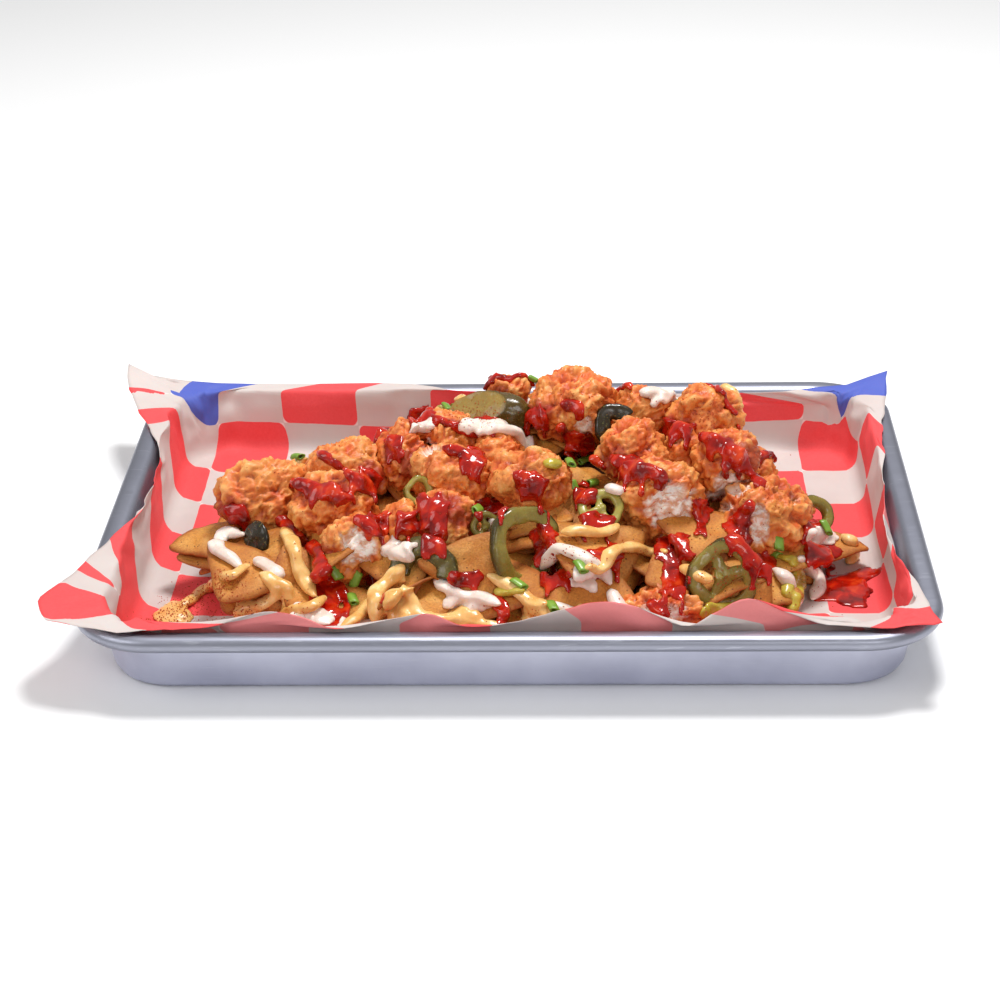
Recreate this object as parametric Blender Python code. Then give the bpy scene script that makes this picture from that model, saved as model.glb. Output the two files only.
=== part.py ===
"""Loaded nachos on a paper-lined aluminium sheet pan.

A quarter-size sheet pan is lined with a sheet of greaseproof paper. On the paper lies a heap of
tortilla chips, topped with pieces of fried chicken and slices of pickled pepper.
Metres, +Z up, X along the pan. The origin is the middle of the pan's flat underside.
"""
import math

import bmesh
import bpy
import numpy as np
from mathutils import Euler, Matrix, Vector, noise

MM = 0.001
GAP = 0.35                       # clearance between neighbouring pieces, mm

# ---------------------------------------------------------------- pan, mm
PAN_LENGTH = 330.0
PAN_WIDTH = 241.0
PAN_HEIGHT = 28.0
RIM_CORNER = 32.0                # plan radius of the rim's corners
CORNER_TAPER = 0.6               # the corner radius shrinks by this much for each mm of inset
SHEET = 1.2                      # metal thickness
CORNER_STEPS = 5
# Section of the pan as (inset from the rim's outside, height), from the underside, round the
# rolled bead and down the inner wall to the floor.
PAN_SECTION = (
    (16.0, 0.0), (13.4, 1.0), (12.2, 3.4), (9.4, 21.8), (8.6, 22.2), (1.6, 22.0), (0.3, 23.2),
    (0.0, 25.0), (0.5, 26.9), (2.2, PAN_HEIGHT), (6.6, PAN_HEIGHT), (9.0, 26.8), (10.6, 22.0),
    (13.4, 4.2), (14.9, 2.1), (17.0, SHEET))

# ---------------------------------------------------------------- paper liner, mm
PAPER = 0.6
PAPER_LONG_STEPS = 10            # divisions of the straight sides, for the waves of the edge
PAPER_SHORT_STEPS = 6
# Underside of the paper as (inset, height), from the floor up the wall.
PAPER_FOOT = ((18.8, SHEET + GAP), (16.0, 2.5), (14.2, 4.6))
PAPER_WALL_TOP = (11.4, 21.5)
PAPER_CREST = (9.7, 28.8)        # where the sheet turns outward over the bead
# Free edge of the sheet, anticlockwise from the middle of the right side. It stays inside the
# wall at the middle of both ends, spreads out in points over the corners, lies on the far rim's
# left half, and stands up in waves along the near rim.
PAPER_EDGE = (
    (154.0, 12, 28.2), (156.2, 30, 28.9), (160, 60, 29.2), (165, 98, 30), (168, 117, 34),
    (152, 113, 29.2), (138, 110.6, 28.9), (110, 109.6, 27.0), (40, 109.6, 26.5),
    (-24, 109.4, 29), (-38, 112, 29.8), (-60, 117, 29.2), (-130, 118, 29.2), (-168, 122, 30.5),
    (-178, 126, 36), (-174, 97, 33), (-163, 72, 29.6), (-155, 52, 28.8), (-152.8, 30, 27),
    (-152.8, 2, 28.2), (-153.6, -14, 29.4), (-157, -28, 30), (-162, -44, 30), (-170, -70, 30.5),
    (-179, -98, 31), (-166, -114, 30), (-148, -117, 29.4), (-114, -115, 30.0),
    (-89, -111.4, 35), (-62, -115, 29.4), (-47, -113, 30), (-28, -111.4, 33.5),
    (-12, -115, 29.6), (9, -113, 31), (39, -111.2, 38), (67, -114, 29.6), (89, -111.2, 38),
    (120, -115, 29.6), (146, -117, 29.4), (162, -115, 29.6), (158, -92, 29.8),
    (155.2, -64, 29), (152.8, -46, 27.4), (152.4, -12, 27.2))

# ---------------------------------------------------------------- heap of chips, mm
HEAP_BASE = SHEET + GAP + PAPER + GAP
HEAP_LEFT = 122.0
HEAP_RIGHT = 122.0
HEAP_FRONT = 97.0
HEAP_BACK = 84.0
HEAP_EDGE = 2.6                  # least thickness
HEAP_COLUMNS = 28
HEAP_ROWS = 20
HEAP_RIDGE = (                   # x, y and height of the crest line, from left to right
    (-122, -20, 5), (-112, -14, 26), (-100, -10, 32), (-80, -8, 38), (-50, 0, 46), (-20, 14, 52),
    (26, 24, 58), (60, 20, 54), (85, 4, 46), (105, -18, 34), (116, -20, 18), (122, -20, 5))
HEAP_FRONT_POWER = 0.8           # a fuller slope in front than behind
HEAP_BACK_POWER = 1.5
HEAP_RELIEF = 3.5
HEAP_CLEAR = 13.0                # the heap keeps under every point of a topping this near in plan

# ---------------------------------------------------------------- toppings, mm and degrees
# Pieces of fried chicken: centre, half sizes, turn about Z.
CHICKEN = (
    ((-101, -12, 33), (19, 15, 15), 0), ((-66, -6, 44), (17, 14, 12), -10),
    ((-70, -32, 38), (18, 13, 14), -15), ((-60, -52, 31), (13, 11, 14), 10),
    ((-42, -46, 37), (8, 9, 10), 0), ((-42, -4, 48), (13, 13, 15), 20),
    ((-28, 3, 55), (15, 11, 9), 0), ((-24, -20, 46), (17, 12, 13), 10),
    ((-5, -6, 51), (10, 10, 8), 0), ((9, -28, 48), (15, 12, 13), -15),
    ((-25, -46, 37), (12, 11, 14), 5), ((25, 26, 58), (18, 15, 14), 0),
    ((50, -8, 50), (12, 12, 14), 0), ((60, -34, 43), (16, 13, 17), -20),
    ((56, 30, 53), (13, 11, 10), 0), ((79, 18, 55), (13, 12, 13), 15),
    ((86, -12, 47), (13, 12, 14), -25), ((70, -1, 49), (9, 9, 9), 0),
    ((101, -32, 34), (17, 14, 16), 20), ((60, -80, 17), (17, 10, 9.5), 0),
    ((-2, 42, 57), (8, 7, 7), 0), ((-80, 26, 23), (14, 12, 10), 15),
    ((-48, 33, 28), (15, 12, 11), -10), ((-20, 58, 33), (14, 12, 11), 20),
    ((13, 64, 30), (14, 11, 10), -5), ((43, 53, 27), (13, 11, 9), 10),
    ((74, 50, 36), (14, 12, 11), -15), ((97, 25, 27), (13, 12, 10), 25),
    ((113, 6, 17.5), (11, 11, 8.5), 0))
# Big pieces of pickled pepper, made in the same way, with a smooth surface.
PICKLES = (((-9, 25, 55), (19, 9, 10), -8),)
# Slices across a pepper: kind, centre, radius, thickness, (tip, turn) of the slice's axis.
# tip leans the axis from straight up towards the front, turn swings it to the right.
SLICES = (
    ("open", (6, -64, 38), 17, 5.0, (72, 42)), ("chambered", (83, -72, 29), 14.5, 5.0, (68, 4)),
    ("crescent", (-33, -75, 28), 13, 4.5, (50, -18)), ("solid", (-101, -41, 30), 8, 4.0, (70, -50)),
    ("open", (-36, -32, 46.5), 6.5, 3.5, (60, 20)), ("solid", (-9, -52, 41), 6, 3.5, (60, 0)),
    ("solid", (36, -46, 45), 9.5, 3.5, (35, 8)), ("solid", (43, 11, 55), 9.5, 4.0, (62, 10)),
    ("open", (123, -12, 25), 8.5, 5.0, (55, 30)), ("open", (-42, 60, 19), 12, 4.5, (-50, -12)),
    ("chambered", (29, 77, 18), 12, 5.0, (-58, 8)), ("solid", (68, 69, 20), 10, 4.5, (-45, -12)))
SLICE_WALL = 0.34                # width of an open slice's band over its radius
SLICE_SIDES = 16
CRESCENT_SWEEP = 200.0
CHAMBER_RADIUS = 0.24            # of each of the three chambers, over the slice's radius
CHAMBER_OFFSET = 0.45
# Chips that lie clear of the heap: centre, side, lean about X and Y, turn about Z.
CHIPS = (
    ((125, -9, 13), 52, (4, 3), 30), ((-117, -30, 19), 44, (14, -6), 96),
    ((-102, -62, 22), 44, (20, 8), 34))
CHIP_THICK = 2.0
CHIP_STEPS = 6
CHIP_BEND = 0.0035               # drop for each mm squared from the middle
CHIP_ROUND = 0.18                # how far a chip's corners are rounded off

LUMP_CUTS = 3
LUMP_RELIEF = 0.17


# ---------------------------------------------------------------- helpers
def clear_scene():
    for obj in list(bpy.data.objects):
        bpy.data.objects.remove(obj, do_unlink=True)


def material(name, colour, roughness, metallic=0.0):
    mat = bpy.data.materials.new(name)
    mat.use_nodes = True
    shader = mat.node_tree.nodes["Principled BSDF"]
    shader.inputs["Base Color"].default_value = (*colour, 1.0)
    shader.inputs["Roughness"].default_value = roughness
    shader.inputs["Metallic"].default_value = metallic
    mat.diffuse_color = (*colour, 1.0)
    return mat


def add_object(name, verts_mm, faces, mat, sharp_angle=40.0):
    """Make an object from points in mm, about the middle of its own box."""
    points = np.asarray(verts_mm, dtype=float)
    middle = (points.min(axis=0) + points.max(axis=0)) / 2
    mesh = bpy.data.meshes.new(name)
    mesh.from_pydata([tuple((p - middle) * MM) for p in points], [], faces)
    bm = bmesh.new()
    bm.from_mesh(mesh)
    bmesh.ops.recalc_face_normals(bm, faces=bm.faces)
    bm.to_mesh(mesh)
    bm.free()
    mesh.materials.append(mat)
    mesh.shade_smooth()
    mesh.set_sharp_from_angle(angle=math.radians(sharp_angle))
    obj = bpy.data.objects.new(name, mesh)
    obj.location = middle * MM
    bpy.context.scene.collection.objects.link(obj)
    return obj


def outline(inset, long_steps=1, short_steps=1):
    """Rounded rectangle at an inset from the rim's outside, anticlockwise from +X."""
    radius = RIM_CORNER - CORNER_TAPER * inset
    corner_x = PAN_LENGTH / 2 - inset - radius
    corner_y = PAN_WIDTH / 2 - inset - radius
    corners = []
    for quarter, (side_x, side_y) in enumerate(((1, 1), (-1, 1), (-1, -1), (1, -1))):
        arc = []
        for step in range(CORNER_STEPS + 1):
            angle = math.radians(90 * (quarter + step / CORNER_STEPS))
            arc.append((side_x * corner_x + radius * math.cos(angle),
                        side_y * corner_y + radius * math.sin(angle)))
        corners.append(arc)
    points = []
    for quarter, arc in enumerate(corners):
        points.extend(arc)
        following = corners[(quarter + 1) % 4][0]
        steps = long_steps if quarter % 2 == 0 else short_steps
        for step in range(1, steps):
            t = step / steps
            points.append(tuple(a + (b - a) * t for a, b in zip(arc[-1], following)))
    return np.array(points)


def ring(inset, height, long_steps=1, short_steps=1):
    flat = outline(inset, long_steps, short_steps)
    return np.column_stack([flat, np.full(len(flat), height)])


def paper_ring(inset, height):
    return ring(inset, height, PAPER_LONG_STEPS, PAPER_SHORT_STEPS)


def ring_quads(rings, first=0):
    """Quads between successive rings of the same number of points."""
    count = len(rings[0])
    quads = []
    for level in range(len(rings) - 1):
        low = first + level * count
        for i in range(count):
            j = (i + 1) % count
            quads.append((low + i, low + j, low + count + j, low + count + i))
    return quads


# ---------------------------------------------------------------- pan and paper
def make_pan(mat):
    rings = [ring(*point) for point in PAN_SECTION]
    count = len(rings[0])
    faces = ring_quads(rings)
    faces.append(tuple(range(count)))
    faces.append(tuple(range((len(rings) - 1) * count, len(rings) * count)))
    return add_object("pan", np.vstack(rings), faces, mat, 50.0)


def smooth_loop(points, per_span=8):
    """Closed Catmull-Rom curve through the points."""
    pts = np.array(points, dtype=float)
    curve = []
    for i in range(len(pts)):
        p0, p1, p2, p3 = pts[i - 1], pts[i], pts[(i + 1) % len(pts)], pts[(i + 2) % len(pts)]
        for t in np.linspace(0, 1, per_span, endpoint=False):
            curve.append(0.5 * (2 * p1 + (p2 - p0) * t
                                + (2 * p0 - 5 * p1 + 4 * p2 - p3) * t * t
                                + (3 * p1 - p0 - 3 * p2 + p3) * t ** 3))
    return np.array(curve)


def edge_ring(rim):
    """The paper's free edge, sampled in the directions of the points of another ring."""
    loop = smooth_loop(PAPER_EDGE)
    angles = np.arctan2(loop[:, 1], loop[:, 0])
    order = np.argsort(angles)
    rim_angles = np.arctan2(rim[:, 1], rim[:, 0])
    return np.column_stack([np.interp(rim_angles, angles[order], loop[order, axis],
                                      period=2 * math.pi) for axis in range(3)])


def paper_rings():
    """Underside of the paper, from the floor to the free edge."""
    wall_top = paper_ring(*PAPER_WALL_TOP)
    crest = paper_ring(*PAPER_CREST)
    edge = edge_ring(crest)
    over = np.clip((edge[:, 2] - PAN_HEIGHT) / PAPER, 0, 1)[:, None]
    middle = (wall_top + edge) / 2
    turn = crest * over + middle * (1 - over)
    return [paper_ring(*point) for point in PAPER_FOOT] + [wall_top, turn, edge]


def grid_normals(rings):
    """Unit normals of a stack of closed rings, pointing to the inside of the pan and up."""
    grid = np.array(rings)
    along = np.roll(grid, -1, axis=1) - np.roll(grid, 1, axis=1)
    across = np.empty_like(grid)
    across[1:-1] = grid[2:] - grid[:-2]
    across[0] = (grid[1] - grid[0]) * (1, 1, 0)
    across[-1] = grid[-1] - grid[-2]
    normal = np.cross(across, along)
    normal /= np.linalg.norm(normal, axis=2)[:, :, None]
    return normal


def make_paper(mat):
    under = np.array(paper_rings())
    upper = under + PAPER * grid_normals(under)
    upper[0, :, 2] = under[0, :, 2] + PAPER
    levels, count, _ = under.shape
    rings = list(under) + list(upper[::-1])
    faces = ring_quads(rings)
    faces.append(tuple(range(count)))
    faces.append(tuple(range((2 * levels - 1) * count, 2 * levels * count)))
    return add_object("paper", np.vstack(rings), faces, mat)


# ---------------------------------------------------------------- rigid toppings
def slice_matrix(centre, tip_turn):
    tip, turn = (math.radians(angle) for angle in tip_turn)
    turned = Matrix.Rotation(turn, 4, "Z") @ Matrix.Rotation(tip, 4, "X")
    return Matrix.Translation(Vector(centre)) @ turned


def transform(points, matrix):
    return np.array([matrix @ Vector(p) for p in points])


def band(radius, inner, thickness, sweep=360.0):
    """A flat ring, or a part of one, about the Z axis."""
    closed = sweep >= 360.0
    steps = round(SLICE_SIDES * sweep / 360.0)
    count = steps if closed else steps + 1
    points = []
    for i in range(count):
        angle = math.radians(sweep * i / steps)
        for r, z in ((inner, -1), (radius, -1), (radius, 1), (inner, 1)):
            points.append((r * math.cos(angle), r * math.sin(angle), z * thickness / 2))
    faces = []
    for i in range(steps):
        low, high = 4 * i, 4 * ((i + 1) % count)
        for k in range(4):
            n = (k + 1) % 4
            faces.append((low + k, low + n, high + n, high + k))
    if not closed:
        last = 4 * (count - 1)
        faces.append((0, 1, 2, 3))
        faces.append((last, last + 1, last + 2, last + 3))
    return np.array(points), faces


def disc(radius, thickness, sides=SLICE_SIDES):
    points = []
    for z in (-thickness / 2, thickness / 2):
        for i in range(sides):
            angle = math.tau * i / sides
            points.append((radius * math.cos(angle), radius * math.sin(angle), z))
    faces = [tuple(range(sides)), tuple(range(sides, 2 * sides))]
    faces += [(i, (i + 1) % sides, sides + (i + 1) % sides, sides + i) for i in range(sides)]
    return np.array(points), faces


def cut_chambers(obj, matrix, radius, thickness, mat):
    """Cut the three seed chambers right through a slice."""
    for k in range(3):
        angle = math.radians(90 + 120 * k)
        points, faces = disc(CHAMBER_RADIUS * radius, thickness * 2, 8)
        offset = (CHAMBER_OFFSET * radius * math.cos(angle),
                  CHAMBER_OFFSET * radius * math.sin(angle), 0)
        cutter = add_object(f"{obj.name}_chamber_{k + 1}", transform(points + offset, matrix),
                            faces, mat)
        cutter.hide_render = True
        cutter.display_type = "WIRE"
        cut = obj.modifiers.new(f"chamber_{k + 1}", "BOOLEAN")
        cut.operation = "DIFFERENCE"
        cut.object = cutter


def make_slices(mat):
    """Add the slices of pepper, and return their points in mm."""
    solids = []
    for number, (kind, centre, radius, thickness, lean) in enumerate(SLICES, start=1):
        matrix = slice_matrix(centre, lean)
        inner = radius * (1 - SLICE_WALL)
        if kind == "open":
            points, faces = band(radius, inner, thickness)
        elif kind == "crescent":
            points, faces = band(radius, inner - 1, thickness, CRESCENT_SWEEP)
        else:
            points, faces = disc(radius, thickness)
        points = transform(points, matrix)
        obj = add_object(f"pepper_slice_{number:02d}", points, faces, mat)
        if kind == "chambered":
            cut_chambers(obj, matrix, radius, thickness, mat)
        solids.append(points)
    return solids


def chip_points(side):
    """One bent triangular chip about its own middle, as a closed plate."""
    steps = CHIP_STEPS
    corners = [Vector((side / math.sqrt(3) * math.cos(a), side / math.sqrt(3) * math.sin(a), 0))
               for a in (math.radians(90), math.radians(210), math.radians(330))]
    index = {}
    flat = []
    for i in range(steps + 1):
        for j in range(steps + 1 - i):
            weights = (i / steps, j / steps, 1 - (i + j) / steps)
            point = sum((c * w for c, w in zip(corners, weights)), Vector())
            point *= 1 - CHIP_ROUND * max(weights) ** 4
            index[i, j] = len(flat)
            flat.append(point)
    points = []
    for level in (CHIP_THICK / 2, -CHIP_THICK / 2):
        for p in flat:
            points.append((p.x, p.y, level - CHIP_BEND * p.x * p.x))
    upper = []
    for i in range(steps):
        for j in range(steps - i):
            upper.append((index[i, j], index[i + 1, j], index[i, j + 1]))
            if i + j < steps - 1:
                upper.append((index[i + 1, j], index[i + 1, j + 1], index[i, j + 1]))
    lower = [tuple(len(flat) + v for v in reversed(face)) for face in upper]
    border = ([index[i, 0] for i in range(steps)]
              + [index[steps - j, j] for j in range(steps)]
              + [index[0, steps - j] for j in range(steps)])
    walls = []
    for k, a in enumerate(border):
        b = border[(k + 1) % len(border)]
        walls.append((b, a, len(flat) + a, len(flat) + b))
    return np.array(points), upper + lower + walls


def make_chips(mat):
    solids = []
    for number, (centre, side, (lean_x, lean_y), turn) in enumerate(CHIPS, start=1):
        points, faces = chip_points(side)
        angles = (math.radians(lean_x), math.radians(lean_y), math.radians(turn))
        matrix = Matrix.Translation(Vector(centre)) @ Euler(angles[:2] + (0,)).to_matrix().to_4x4()
        matrix = matrix @ Matrix.Rotation(angles[2], 4, "Z")
        points = transform(points, matrix)
        add_object(f"chip_{number:02d}", points, faces, mat)
        solids.append(points)
    return solids


# ---------------------------------------------------------------- lumps
def sphere_grid():
    """Directions and quads of an evenly divided cube blown up to a sphere."""
    bm = bmesh.new()
    bmesh.ops.create_cube(bm, size=2.0)
    bmesh.ops.subdivide_edges(bm, edges=bm.edges[:], cuts=LUMP_CUTS, use_grid_fill=True)
    bm.verts.index_update()
    directions = np.array([v.co.normalized() for v in bm.verts])
    faces = [tuple(v.index for v in face.verts) for face in bm.faces]
    bm.free()
    return directions, faces


class Lump:
    """An uneven rounded piece that is flattened where it meets its neighbours."""

    def __init__(self, name, centre, half, turn, seed, relief):
        self.name = name
        self.centre = np.array(centre, dtype=float)
        self.half = np.array(half, dtype=float)
        self.turn = math.radians(turn)
        self.seed = seed
        self.relief = relief
        self.walls = []

    def reach(self, direction):
        """How far the smooth form extends from its centre in a direction."""
        c, s = math.cos(self.turn), math.sin(self.turn)
        local = np.array([c * direction[0] + s * direction[1],
                          c * direction[1] - s * direction[0], direction[2]])
        return float(np.linalg.norm(local * self.half))

    def points(self, directions):
        c, s = math.cos(self.turn), math.sin(self.turn)
        result = []
        for d in directions:
            key = Vector(d) * 1.5 + Vector((self.seed * 7.3, 0, 0))
            fine = Vector(d) * 3.6 + Vector((0, self.seed * 5.1, 0))
            swell = 1 + self.relief * (noise.noise(key) + 0.45 * noise.noise(fine))
            p = np.array(d) * self.half * swell
            p = np.array([c * p[0] - s * p[1], s * p[0] + c * p[1], p[2]])
            for normal, distance in self.walls:
                beyond = float(p @ normal)
                if beyond > distance:
                    p = p * distance / beyond
            result.append(self.centre + p)
        return np.array(result)


def part_lumps(lumps):
    """Put a flat wall between each two lumps that would meet."""
    for i, one in enumerate(lumps):
        for other in lumps[i + 1:]:
            offset = other.centre - one.centre
            apart = float(np.linalg.norm(offset))
            direction = offset / apart
            reach_one, reach_other = one.reach(direction), other.reach(direction)
            if apart > 1.4 * (reach_one + reach_other):
                continue
            share = reach_one / (reach_one + reach_other)
            one.walls.append((direction, share * apart - GAP / 2))
            other.walls.append((-direction, (1 - share) * apart - GAP / 2))


def part_from_solid(lump, points):
    """Put a flat wall between a lump and a rigid piece, where it takes least from the lump."""
    middle = points.mean(axis=0)
    offsets = points - lump.centre
    _, _, axes = np.linalg.svd(points - middle)
    thin = axes[2] * np.sign(axes[2] @ (middle - lump.centre) or 1.0)
    straight = (middle - lump.centre) / np.linalg.norm(middle - lump.centre)
    best = None
    for direction in (straight, thin, straight + thin):
        direction = direction / np.linalg.norm(direction)
        distance = float((offsets @ direction).min())
        if best is None or distance > best[1]:
            best = (direction, distance)
    direction, distance = best
    if distance < 1.4 * lump.reach(direction):
        lump.walls.append((direction, distance - GAP))


def make_lumps(rigid, chicken_mat, pickle_mat):
    lumps = []
    for number, (centre, half, turn) in enumerate(CHICKEN, start=1):
        lumps.append(Lump(f"chicken_{number:02d}", centre, half, turn, number, LUMP_RELIEF))
    for number, (centre, half, turn) in enumerate(PICKLES, start=1):
        lumps.append(Lump(f"pickle_{number:02d}", centre, half, turn, 50 + number, 0.06))
    part_lumps(lumps)
    directions, faces = sphere_grid()
    solids = []
    for lump in lumps:
        for points in rigid:
            part_from_solid(lump, points)
        points = lump.points(directions)
        mat = chicken_mat if lump.name.startswith("chicken") else pickle_mat
        add_object(lump.name, points, faces, mat)
        solids.append(points)
    return solids


# ---------------------------------------------------------------- heap
def heap_place(u, v):
    """Plan position of a point of the unit square, bent to the heap's rounded outline."""
    across = HEAP_RIGHT if u > 0 else HEAP_LEFT
    deep = HEAP_BACK if v > 0 else HEAP_FRONT
    return across * u * math.sqrt(1 - v * v / 2), deep * v * math.sqrt(1 - u * u / 2)


def heap_height(x, y, front, back):
    """Height of the bare heap, between its front and back edges at that x."""
    ridge_x, ridge_y, ridge_z = zip(*HEAP_RIDGE)
    crest_y = np.interp(x, ridge_x, ridge_y)
    crest = np.interp(x, ridge_x, ridge_z)
    ahead = y < crest_y
    share = (crest_y - y) / (crest_y - front) if ahead else (y - crest_y) / (back - crest_y)
    power = HEAP_FRONT_POWER if ahead else HEAP_BACK_POWER
    slope = max(0.0, 1 - share * share) ** power
    relief = HEAP_RELIEF * noise.noise(Vector((x, y, 0)) / 14.0)
    return HEAP_BASE + max(HEAP_EDGE, crest * slope + relief)


def heap_top(u, v, toppings):
    """A point of the heap's surface, kept under every topping near it."""
    x, y = heap_place(u, v)
    edge = math.sqrt(max(0.0, 1 - (x / (HEAP_RIGHT if x > 0 else HEAP_LEFT)) ** 2))
    height = heap_height(x, y, -HEAP_FRONT * edge - 0.1, HEAP_BACK * edge + 0.1)
    for points in toppings:
        near = np.hypot(points[:, 0] - x, points[:, 1] - y) < HEAP_CLEAR
        if near.any():
            height = min(height, points[near, 2].min() - GAP)
    return x, y, max(height, HEAP_BASE + HEAP_EDGE)


def make_heap(toppings, mat):
    columns, rows = HEAP_COLUMNS + 1, HEAP_ROWS + 1
    points = []
    for v in np.linspace(-1, 1, rows):
        for u in np.linspace(-1, 1, columns):
            points.append(heap_top(u, v, toppings))
    faces = []
    for j in range(rows - 1):
        for i in range(columns - 1):
            low = j * columns + i
            faces.append((low, low + 1, low + columns + 1, low + columns))
    border = ([i for i in range(columns - 1)]
              + [j * columns + columns - 1 for j in range(rows - 1)]
              + [rows * columns - 1 - i for i in range(columns - 1)]
              + [(rows - 1 - j) * columns for j in range(rows - 1)])
    base = len(points)
    points += [(points[k][0], points[k][1], HEAP_BASE) for k in border]
    for k, corner in enumerate(border):
        after = (k + 1) % len(border)
        faces.append((border[after], corner, base + k, base + after))
    faces.append(tuple(range(base, len(points))))
    return add_object("chip_heap", points, faces, mat, 60.0)


def build():
    clear_scene()
    metal = material("aluminium", (0.62, 0.64, 0.68), 0.38, 1.0)
    paper = material("checked_paper", (0.86, 0.60, 0.57), 0.75)
    corn = material("tortilla_chip", (0.72, 0.42, 0.12), 0.6)
    crust = material("fried_chicken", (0.68, 0.27, 0.06), 0.55)
    pepper = material("pickled_pepper", (0.24, 0.25, 0.05), 0.3)
    make_pan(metal)
    make_paper(paper)
    slices = make_slices(pepper)
    chips = make_chips(corn)
    lumps = make_lumps(slices + chips, crust, pepper)
    make_heap(slices + chips + lumps, corn)


build()
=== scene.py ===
"""Looks of the loaded nachos: every surface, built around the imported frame."""
import math
import random

import bmesh
import bpy
import numpy as np
from mathutils import Euler, Matrix, Vector, noise
from mathutils.bvhtree import BVHTree


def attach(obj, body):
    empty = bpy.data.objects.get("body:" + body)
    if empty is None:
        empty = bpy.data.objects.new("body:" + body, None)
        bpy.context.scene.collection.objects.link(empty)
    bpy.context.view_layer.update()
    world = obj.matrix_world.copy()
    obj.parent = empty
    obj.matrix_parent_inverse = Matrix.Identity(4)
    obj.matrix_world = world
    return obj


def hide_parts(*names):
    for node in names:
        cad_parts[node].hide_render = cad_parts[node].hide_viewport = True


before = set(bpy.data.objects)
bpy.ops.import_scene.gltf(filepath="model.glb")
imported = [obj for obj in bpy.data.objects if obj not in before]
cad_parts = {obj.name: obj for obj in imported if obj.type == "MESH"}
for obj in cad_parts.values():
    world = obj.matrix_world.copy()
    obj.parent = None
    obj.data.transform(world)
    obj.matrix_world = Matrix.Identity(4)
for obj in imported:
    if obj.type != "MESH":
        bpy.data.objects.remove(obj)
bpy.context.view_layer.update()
MM = 0.001
SCENE = bpy.context.scene

# ---------------------------------------------------------------- camera and light
# Places on the heap are given as they are seen from the front: (x, h) in mm is a point of the
# upright plane y = 0, and the thing lies somewhere on the line from the lens through it.
LENS = np.array([28.6, -916.5, 474.2])
VIEW_PITCH = 26.0
VIEW_YAW = 2.1
VIEW_ROLL = -1.2
FOCAL = 89.1


def seen(x, h, y):
    """The point at depth y on the line from the lens through (x, h)."""
    share = 1 - y / LENS[1]
    return np.array([LENS[0] + (x - LENS[0]) * share, y, LENS[2] + (h - LENS[2]) * share])


def front_places(points):
    """The (x, h) at which points are seen."""
    share = 1 - points[:, 1] / LENS[1]
    return np.column_stack([LENS[0] + (points[:, 0] - LENS[0]) / share,
                            LENS[2] + (points[:, 2] - LENS[2]) / share])


def add_camera():
    data = bpy.data.cameras.new("camera")
    data.lens = FOCAL
    data.sensor_width = 36.0
    data.clip_end = 20.0
    camera = bpy.data.objects.new("camera", data)
    turn = Matrix.Rotation(math.radians(VIEW_YAW), 4, "Z")
    tip = Matrix.Rotation(math.radians(90 - VIEW_PITCH), 4, "X")
    roll = Matrix.Rotation(math.radians(VIEW_ROLL), 4, "Z")
    camera.matrix_world = Matrix.Translation(Vector(LENS * MM)) @ turn @ tip @ roll
    SCENE.collection.objects.link(camera)
    SCENE.camera = camera


def add_light(name, place, aim, size, power):
    data = bpy.data.lights.new(name, "AREA")
    data.shape = "DISK"
    data.size = size
    data.energy = power
    lamp = bpy.data.objects.new(name, data)
    lamp.location = place
    lamp.rotation_euler = (Vector(aim) - Vector(place)).to_track_quat("-Z", "Y").to_euler()
    SCENE.collection.objects.link(lamp)


def add_lights():
    world = bpy.data.worlds.new("world")
    SCENE.world = world
    world.use_nodes = True
    sky = world.node_tree.nodes["Background"]
    sky.inputs["Color"].default_value = (1, 1, 1, 1)
    sky.inputs["Strength"].default_value = 0.42
    add_light("key", (0.16, 0.30, 1.15), (0, 0, 0.03), 0.36, 12.5)
    add_light("fill", (-0.9, -0.5, 0.9), (0, 0, 0.03), 0.8, 4.5)
    add_light("front", (0.5, -1.2, 0.7), (0, 0, 0.03), 0.5, 3.0)
    SCENE.view_settings.view_transform = "Standard"
    SCENE.view_settings.look = "None"


# ---------------------------------------------------------------- mesh helpers, points in mm
def add_piece(name, points, faces, mats, attributes=None):
    """Make a piece that rides on the body, from points in mm."""
    mesh = bpy.data.meshes.new(name)
    points = np.asarray(points, dtype=np.float32)
    faces = np.asarray(faces, dtype=np.int32)
    sides = faces.shape[1]
    mesh.vertices.add(len(points))
    mesh.vertices.foreach_set("co", (points * MM).ravel())
    mesh.loops.add(faces.size)
    mesh.loops.foreach_set("vertex_index", faces.ravel())
    mesh.polygons.add(len(faces))
    mesh.polygons.foreach_set("loop_start", np.arange(0, faces.size, sides, dtype=np.int32))
    mesh.update(calc_edges=True)
    mesh.validate()
    for mat in mats if isinstance(mats, (list, tuple)) else [mats]:
        mesh.materials.append(mat)
    for key, values in (attributes or {}).items():
        values = np.asarray(values, dtype=np.float32)
        kind = "FLOAT" if values.ndim == 1 else "FLOAT_VECTOR"
        layer = mesh.attributes.new(key, kind, "POINT")
        layer.data.foreach_set("value" if values.ndim == 1 else "vector", values.ravel())
    mesh.shade_smooth()
    obj = bpy.data.objects.new(name, mesh)
    SCENE.collection.objects.link(obj)
    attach(obj, "root")
    return obj


def read_mesh(mesh):
    """Points in mm and triangles of a mesh."""
    points = np.empty(len(mesh.vertices) * 3)
    mesh.vertices.foreach_get("co", points)
    mesh.calc_loop_triangles()
    faces = np.empty(len(mesh.loop_triangles) * 3, dtype=np.int32)
    mesh.loop_triangles.foreach_get("vertices", faces)
    return points.reshape(-1, 3) / MM, faces.reshape(-1, 3)


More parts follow.
